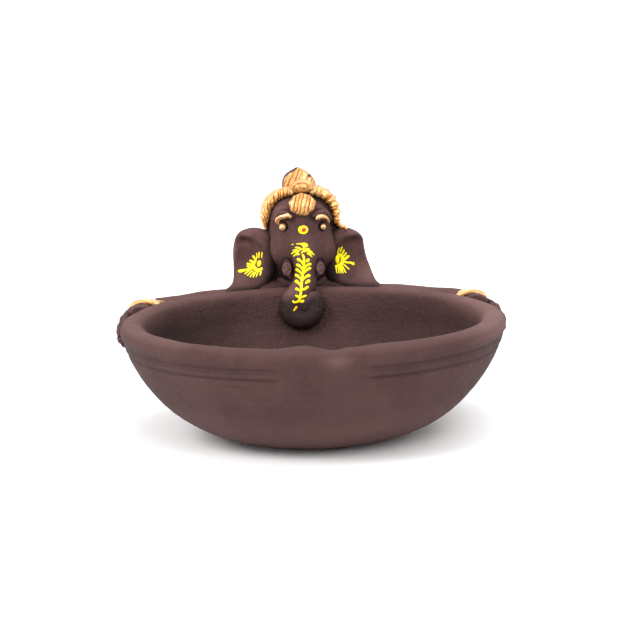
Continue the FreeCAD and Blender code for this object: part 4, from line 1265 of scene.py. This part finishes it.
# ------------------------------------------------------------------ liner paint
FERN = [
    [(-1.05, 65.11, 0.32), (0.28, 64.65, 0.85), (1.36, 64.32, 1.02), (2.25, 64.26, 0.78)],
    [(0.58, 63.8, 0.5), (0.43, 63.16, 0.42), (0.16, 62.53, 0.4)],
    [(-4.69, 64.81, 0.24), (-3.7, 64.91, 0.24)],
    [(-2.64, 64.93, 0.26), (-1.81, 65.0, 0.28), (-0.92, 65.01, 0.36)],
    [(-3.13, 63.54, 0.34), (-1.67, 63.3, 0.46), (-0.29, 62.41, 0.44)],
    [(-4.25, 62.22, 0.28), (-2.9, 62.44, 0.38), (-1.19, 61.93, 0.4)],
    [(-4.86, 60.83, 0.3), (-3.63, 61.5, 0.38), (-1.72, 61.37, 0.36)],
    [(-3.99, 59.77, 0.3), (-3.02, 60.51, 0.4), (-1.23, 60.64, 0.42)],
    [(1.0, 62.69, 0.38), (2.02, 62.85, 0.42), (2.97, 62.5, 0.34)],
    [(1.55, 62.03, 0.5), (2.89, 61.86, 0.46), (4.15, 61.11, 0.36)],
    [(2.24, 61.37, 0.44), (3.63, 61.0, 0.42), (4.83, 60.12, 0.34)],
    [(1.66, 61.06, 0.4), (2.92, 60.31, 0.44), (3.91, 59.31, 0.34)],
    [(-0.71, 60.95, 0.34), (-0.24, 61.58, 0.28), (0.78, 61.61, 0.26), (1.42, 61.84, 0.24), (0.86, 62.31, 0.24), (-0.16, 62.28, 0.26)],
    [(-0.33, 60.61, 0.46), (0.22, 59.82, 0.5), (0.49, 57.95, 0.54), (0.3, 55.37, 0.56), (-0.09, 52.81, 0.58), (-0.54, 50.24, 0.56), (-0.86, 47.66, 0.54), (-1.2, 44.44, 0.54), (-1.63, 42.51, 0.6), (-1.87, 40.9, 0.66)],
    [(-2.49, 58.69, 0.74), (-1.35, 58.14, 0.62), (-0.42, 57.14, 0.46), (0.24, 55.63, 0.36)],
    [(-2.87, 56.32, 0.76), (-1.67, 55.89, 0.64), (-0.68, 54.76, 0.46), (-0.01, 53.32, 0.36)],
    [(-3.24, 54.33, 0.76), (-2.1, 53.91, 0.64), (-1.11, 52.84, 0.46), (-0.38, 51.39, 0.36)],
    [(-3.49, 52.02, 0.8), (-2.36, 51.59, 0.66), (-1.36, 50.65, 0.46), (-0.75, 49.4, 0.36)],
    [(-3.49, 49.69, 0.82), (-2.61, 49.08, 0.7), (-1.74, 48.21, 0.46), (-1.07, 47.02, 0.34)],
    [(-3.45, 46.46, 0.8), (-2.69, 46.04, 0.66), (-1.94, 45.63, 0.48), (-1.18, 45.02, 0.38)],
    [(-3.59, 43.42, 0.56), (-2.71, 43.0, 0.54), (-1.77, 42.32, 0.5)],
    [(-4.73, 41.38, 0.48), (-4.18, 40.59, 0.52), (-3.16, 40.55, 0.54), (-1.99, 41.03, 0.6)],
    [(2.55, 58.59, 0.8), (1.96, 57.83, 0.66), (1.43, 57.14, 0.36)],
    [(3.46, 56.43, 0.7), (2.17, 56.15, 0.6), (1.13, 55.35, 0.46), (0.4, 54.34, 0.36)],
    [(3.29, 54.76, 0.74), (2.06, 54.28, 0.64), (1.02, 53.48, 0.46), (0.09, 52.35, 0.36)],
    [(2.95, 51.67, 0.84), (1.73, 51.39, 0.68), (0.63, 50.71, 0.46), (-0.36, 49.59, 0.36)],
    [(2.77, 49.61, 0.78), (1.67, 49.0, 0.7), (0.63, 48.26, 0.4)],
    [(2.07, 47.11, 0.62), (1.09, 46.3, 0.6), (0.12, 45.88, 0.52), (-0.98, 45.53, 0.38)],
    [(1.21, 43.38, 0.5), (-0.09, 42.85, 0.5), (-1.38, 42.5, 0.5)],
    [(-0.12, 41.49, 0.5), (-0.52, 40.79, 0.56), (-1.74, 40.7, 0.6)],
    [(-2.88, 38.86, 0.62), (-3.61, 37.97, 0.55), (-4.47, 36.9, 0.36)],
]
EAR_L = [
    [(-19.02, 57.45, 0.46), (-20.08, 56.26, 0.76), (-20.31, 54.77, 0.84), (-19.23, 53.51, 0.84), (-17.75, 53.18, 0.86), (-16.6, 54.18, 0.58)],
    [(-26.77, 53.01, 0.84), (-25.37, 53.15, 0.74), (-23.22, 53.55, 0.52), (-20.7, 54.03, 0.56)],
    [(-16.5, 60.84, 0.36), (-16.68, 59.53, 0.34), (-16.95, 58.23, 0.28)],
    [(-17.71, 60.97, 0.36), (-17.84, 59.57, 0.34), (-18.12, 58.17, 0.3)],
    [(-18.83, 60.63, 0.3), (-18.78, 59.23, 0.28), (-18.91, 57.92, 0.3)],
    [(-20.54, 59.47, 0.48), (-19.83, 58.42, 0.46), (-19.21, 57.36, 0.36)],
    [(-21.9, 57.55, 0.5), (-20.89, 56.95, 0.48), (-20.08, 56.26, 0.4)],
    [(-23.15, 56.18, 0.56), (-21.95, 55.76, 0.54), (-20.57, 55.34, 0.44)],
    [(-23.09, 55.05, 0.44), (-21.7, 54.72, 0.44), (-20.5, 54.4, 0.4)],
    [(-24.21, 51.7, 0.26), (-22.88, 52.69, 0.32), (-21.27, 53.58, 0.3)],
    [(-23.21, 50.92, 0.26), (-21.97, 52.1, 0.32), (-20.54, 53.08, 0.3)],
    [(-22.02, 50.31, 0.26), (-21.05, 51.5, 0.32), (-19.9, 52.69, 0.3)],
    [(-20.72, 50.08, 0.26), (-20.13, 51.28, 0.32), (-19.26, 52.48, 0.3)],
    [(-19.41, 50.32, 0.24), (-19.01, 51.34, 0.3), (-18.52, 52.36, 0.28)],
    [(-17.72, 50.83, 0.3), (-17.46, 51.76, 0.36), (-17.2, 52.69, 0.34)],
]
EAR_R = [
    [(14.92, 59.33, 0.42), (16.29, 58.16, 0.7), (17.0, 56.72, 0.86), (16.78, 55.13, 0.86), (15.54, 53.95, 0.76), (13.86, 53.82, 0.46)],
    [(17.54, 55.58, 0.6), (19.02, 55.2, 0.5), (20.61, 55.0, 0.56), (21.99, 54.34, 0.92)],
    [(16.94, 61.99, 0.4), (16.54, 60.87, 0.42), (16.04, 59.58, 0.4)],
    [(15.76, 61.56, 0.32), (15.41, 60.54, 0.34), (15.01, 59.33, 0.34)],
    [(17.84, 60.74, 0.42), (17.35, 59.72, 0.44), (16.77, 58.61, 0.42)],
    [(18.75, 59.49, 0.42), (18.07, 58.57, 0.44), (17.21, 57.75, 0.42)],
    [(19.93, 58.13, 0.6), (18.88, 57.32, 0.58), (17.56, 56.42, 0.5)],
    [(19.8, 52.2, 0.28), (18.7, 53.28, 0.32), (17.42, 54.54, 0.34)],
    [(18.36, 50.74, 0.3), (17.65, 52.18, 0.34), (16.85, 53.9, 0.36)],
    [(17.24, 50.59, 0.24), (16.8, 52.02, 0.3), (16.28, 53.73, 0.32)],
    [(16.31, 50.62, 0.24), (16.06, 52.05, 0.3), (15.72, 53.57, 0.32)],
    [(15.37, 50.66, 0.24), (15.31, 52.07, 0.3), (15.06, 53.49, 0.32)],
    [(14.49, 50.78, 0.26), (14.38, 52.1, 0.32), (14.13, 53.62, 0.34)],
]
OVAL_L, OVAL_R = (-17.95, 56.01), (14.86, 56.7)



def bvh_of(*names):
    vs, fs = [], []
    for n in names:
        me = built[n].data
        off = len(vs)
        co = np.empty(len(me.vertices) * 3)
        me.vertices.foreach_get("co", co)
        vs += (co.reshape(-1, 3) / MM).tolist()
        fs += [[i + off for i in p.vertices] for p in me.polygons]
    return BVHTree.FromPolygons(vs, fs)


def on_surface(tree, x, z, plane):
    """Where the clay lies under a point drawn on an upright plane, along the line the eye takes."""
    p = np.array((x, plane, z))
    d = p - EYE
    d /= np.linalg.norm(d)
    hit = tree.ray_cast(Vector(p - d * 30), Vector(d), 60)
    if hit[0] is None:
        return None
    n = np.array(hit[1])
    if n @ d > 0:
        n = -n
    return np.array(hit[0]), n


def bead(tree, pts, widths, plane, flat=0.42, n=None):
    """One squeezed line of paint: a rounded ridge that follows the clay, closed under it."""
    rows = [(p[0], p[1], w) for p, w in zip(pts, widths)]
    L = sum(math.dist(a[:2], b[:2]) for a, b in zip(rows[:-1], rows[1:]))
    n = n or max(10, int(L / 0.16))
    K = spline(rows, n) if len(rows) > 2 else np.array([[*(np.array(rows[0]) * (1 - t) + np.array(rows[1]) * t)] for t in np.linspace(0, 1, n)])
    C, N, W = [], [], []
    for x, z, w in K:
        h = on_surface(tree, x, z, plane)
        if h is None:
            continue
        C.append(h[0])
        N.append(h[1])
        W.append(w)
    if len(C) < 4:
        return None
    C, N, W = np.array(C), np.array(N), np.array(W)
    for _ in range(2):
        N[1:-1] = (N[:-2] + N[1:-1] * 2 + N[2:]) / 4
        C[1:-1] = (C[:-2] + C[1:-1] * 2 + C[2:]) / 4
    N /= np.linalg.norm(N, axis=1)[:, None]
    T = np.gradient(C, axis=0)
    T /= np.linalg.norm(T, axis=1)[:, None] + 1e-9
    B = np.cross(T, N)
    B /= np.linalg.norm(B, axis=1)[:, None] + 1e-9
    # rounded ends
    s = np.r_[0, np.cumsum(np.linalg.norm(np.diff(C, axis=0), axis=1))]
    e0 = np.sqrt(np.clip(1 - (1 - np.clip(s / (W[0] + 1e-6), 0, 1)) ** 2, 0.02, 1))
    e1 = np.sqrt(np.clip(1 - (1 - np.clip((s[-1] - s) / (W[-1] + 1e-6), 0, 1)) ** 2, 0.02, 1))
    W = W * np.minimum(e0, e1)
    C = C.copy()
    C[0] -= T[0] * W[1] * 0.3
    C[-1] += T[-1] * W[-2] * 0.3
    m = 14
    ang = np.linspace(0, 2 * math.pi, m, endpoint=False)
    co, si = np.cos(ang), np.sin(ang)
    up_h = np.where(si > 0, flat * 1.0, 0.55)
    V = C[:, None, :] + B[:, None, :] * (W[:, None] * co)[:, :, None] + N[:, None, :] * (np.minimum(W, 0.75)[:, None] * si * up_h)[:, :, None]
    k = len(C)
    V = V.reshape(-1, 3)
    idx = np.arange(k * m).reshape(k, m)
    a, b = idx[:-1], idx[1:]
    Q = np.stack([a, np.roll(a, -1, 1), np.roll(b, -1, 1), b], -1).reshape(-1, 4).tolist()
    Q.append(idx[0][::-1].tolist())
    Q.append(idx[-1].tolist())
    return V, Q


def blob(tree, x, z, a, b, high, plane, tilt=0.0):
    """A drop of paint: an oval dome lying on the clay, a to b across, closed under it."""
    h = on_surface(tree, x, z, plane)
    if h is None:
        return None
    c, n = h
    t = np.cross(n, (0, 0, 1.0))
    t = -t / np.linalg.norm(t)
    u = np.cross(n, t)
    u = u if u[2] > 0 else -u
    ct, sn = math.cos(math.radians(tilt)), math.sin(math.radians(tilt))
    t, u = t * ct + u * sn, u * ct - t * sn
    V, F = [c + n * high], []
    rings, m = 7, 28
    for k in range(1, rings + 1):
        f = math.sin(math.pi * k / (rings + 1))
        zz = math.cos(math.pi * k / (rings + 1))
        for j in range(m):
            q = 2 * math.pi * j / m
            V.append(c + t * a * f * math.cos(q) + u * b * f * math.sin(q) + n * (high * zz if zz > 0 else 0.5 * zz))
    V.append(c - n * 0.5)
    for j in range(m):
        F.append([0, 1 + j, 1 + (j + 1) % m])
        for k in range(rings - 1):
            F.append([1 + k * m + j, 1 + (k + 1) * m + j, 1 + (k + 1) * m + (j + 1) % m, 1 + k * m + (j + 1) % m])
        F.append([len(V) - 1, 1 + (rings - 1) * m + (j + 1) % m, 1 + (rings - 1) * m + j])
    return np.array(V), F


def paint_piece(name, tree, strokes, plane, mat, slot, voxel=0.13):
    V, F = [], []
    for stroke in strokes:
        if stroke[0] == "drop":
            r = blob(tree, *stroke[1:6], plane, *stroke[6:])
        else:
            r = bead(tree, stroke[0], stroke[1], plane, stroke[2])
        if r is None:
            continue
        off = len(V)
        V += r[0].tolist()
        F += [[i + off for i in q] for q in r[1]]
    me = bpy.data.meshes.new(name)
    me.from_pydata((np.array(V) * MM).tolist(), [], F)
    me.update()
    o = bpy.data.objects.new(name, me)
    bpy.context.scene.collection.objects.link(o)
    mod = o.modifiers.new("flow", "REMESH")
    mod.mode = "VOXEL"
    mod.voxel_size = voxel * MM
    mod.use_smooth_shade = True
    sm = o.modifiers.new("settle", "SMOOTH")
    sm.factor = 0.5
    sm.iterations = 2
    dg = bpy.context.evaluated_depsgraph_get()
    new = bpy.data.meshes.new_from_object(o.evaluated_get(dg))
    o.modifiers.clear()
    o.data = new
    new.name = name
    new.polygons.foreach_set("use_smooth", np.ones(len(new.polygons), bool))
    bpy.data.meshes.remove(me)
    dress(o, mat, slot)
    built[name] = o
    return o


def lines(strokes, flat=0.42):
    return [([p[:2] for p in s], [p[2] for p in s], flat) for s in strokes]


paint_piece("trunk_branch_paint", bvh_of("head", "trunk"), lines(FERN, 0.44), 64.5, YELLOW, "yellow_paint", 0.12)
for side, D, (ox, oz), (ow, oh, tilt) in (("left", EAR_L, OVAL_L, (1.0, 1.5, -16.0)), ("right", EAR_R, OVAL_R, (1.12, 2.05, 6.0))):
    D = [[(x, z, r * (1.15 if k > 1 else 1.0)) for x, z, r in s] for k, s in enumerate(D)]
    st = lines(D, 0.38) + [("drop", ox, oz, ow, oh, 0.45, tilt)]
    paint_piece(side + "_ear_paint", bvh_of(side + "_ear"), st, 73.5, YELLOW, "yellow_paint", 0.11)

# the mark on the forehead: a yellow ring, and a red dot a little off its centre
tree = bvh_of("head")
paint_piece("forehead_ring_paint", tree, [("drop", 0.5, 70.62, 2.15, 1.92, 0.42)], 66.0, YELLOW, "yellow_paint", 0.11)
paint_piece("forehead_dot_paint", tree, [("drop", 0.72, 70.6, 1.12, 1.0, 0.86, 20.0)], 66.0, RED, "red_paint", 0.10)

# ------------------------------------------------------------------ floor, light, world
floor_me = bpy.data.meshes.new("floor")
floor_me.from_pydata([(-9, -9, 0), (9, -9, 0), (9, 9, 0), (-9, 9, 0)], [], [(0, 1, 2, 3)])
floor = bpy.data.objects.new("floor", floor_me)
bpy.context.scene.collection.objects.link(floor)
fm, fnt, fb = nodes_of("floor_pale")
fv = coords(fnt)
fn = tex(fnt, "ShaderNodeTexNoise", 6.0, 3.0, 0.5, 0.0, fv)
fnt.links.new(mixc(fnt, fn.outputs["Fac"], (0.90, 0.90, 0.90, 1), (0.93, 0.93, 0.93, 1)), fb.inputs["Base Color"])
fb.inputs["Roughness"].default_value = 0.9
fb.inputs["Specular IOR Level"].default_value = 0.1
floor_me.materials.append(fm)

world = bpy.data.worlds.new("studio")
bpy.context.scene.world = world
world.use_nodes = True
world.node_tree.nodes["Background"].inputs[0].default_value = (1.0, 1.0, 1.0, 1)
world.node_tree.nodes["Background"].inputs[1].default_value = 1.15


def area(name, pos, target, size, watts, size_y=None):
    L = bpy.data.lights.new(name, "AREA")
    L.energy = watts
    L.size = size
    if size_y:
        L.shape = "RECTANGLE"
        L.size_y = size_y
    o = bpy.data.objects.new(name, L)
    bpy.context.scene.collection.objects.link(o)
    o.location = pos
    o.rotation_mode = "QUATERNION"
    o.rotation_quaternion = (Vector(target) - Vector(pos)).to_track_quat("-Z", "Y")
    return o


area("key_left", (-0.80, -0.50, 0.75), (0, 0.02, 0.05), 0.5, 9.0)
area("top_soft", (0.30, 0.05, 1.1), (0, 0, 0.04), 1.2, 8.0)
area("front_soft", (0.30, -1.0, 0.75), (0, 0.04, 0.06), 0.6, 6.0)

bpy.context.scene.view_settings.view_transform = "Standard"
bpy.context.scene.view_settings.look = "None"
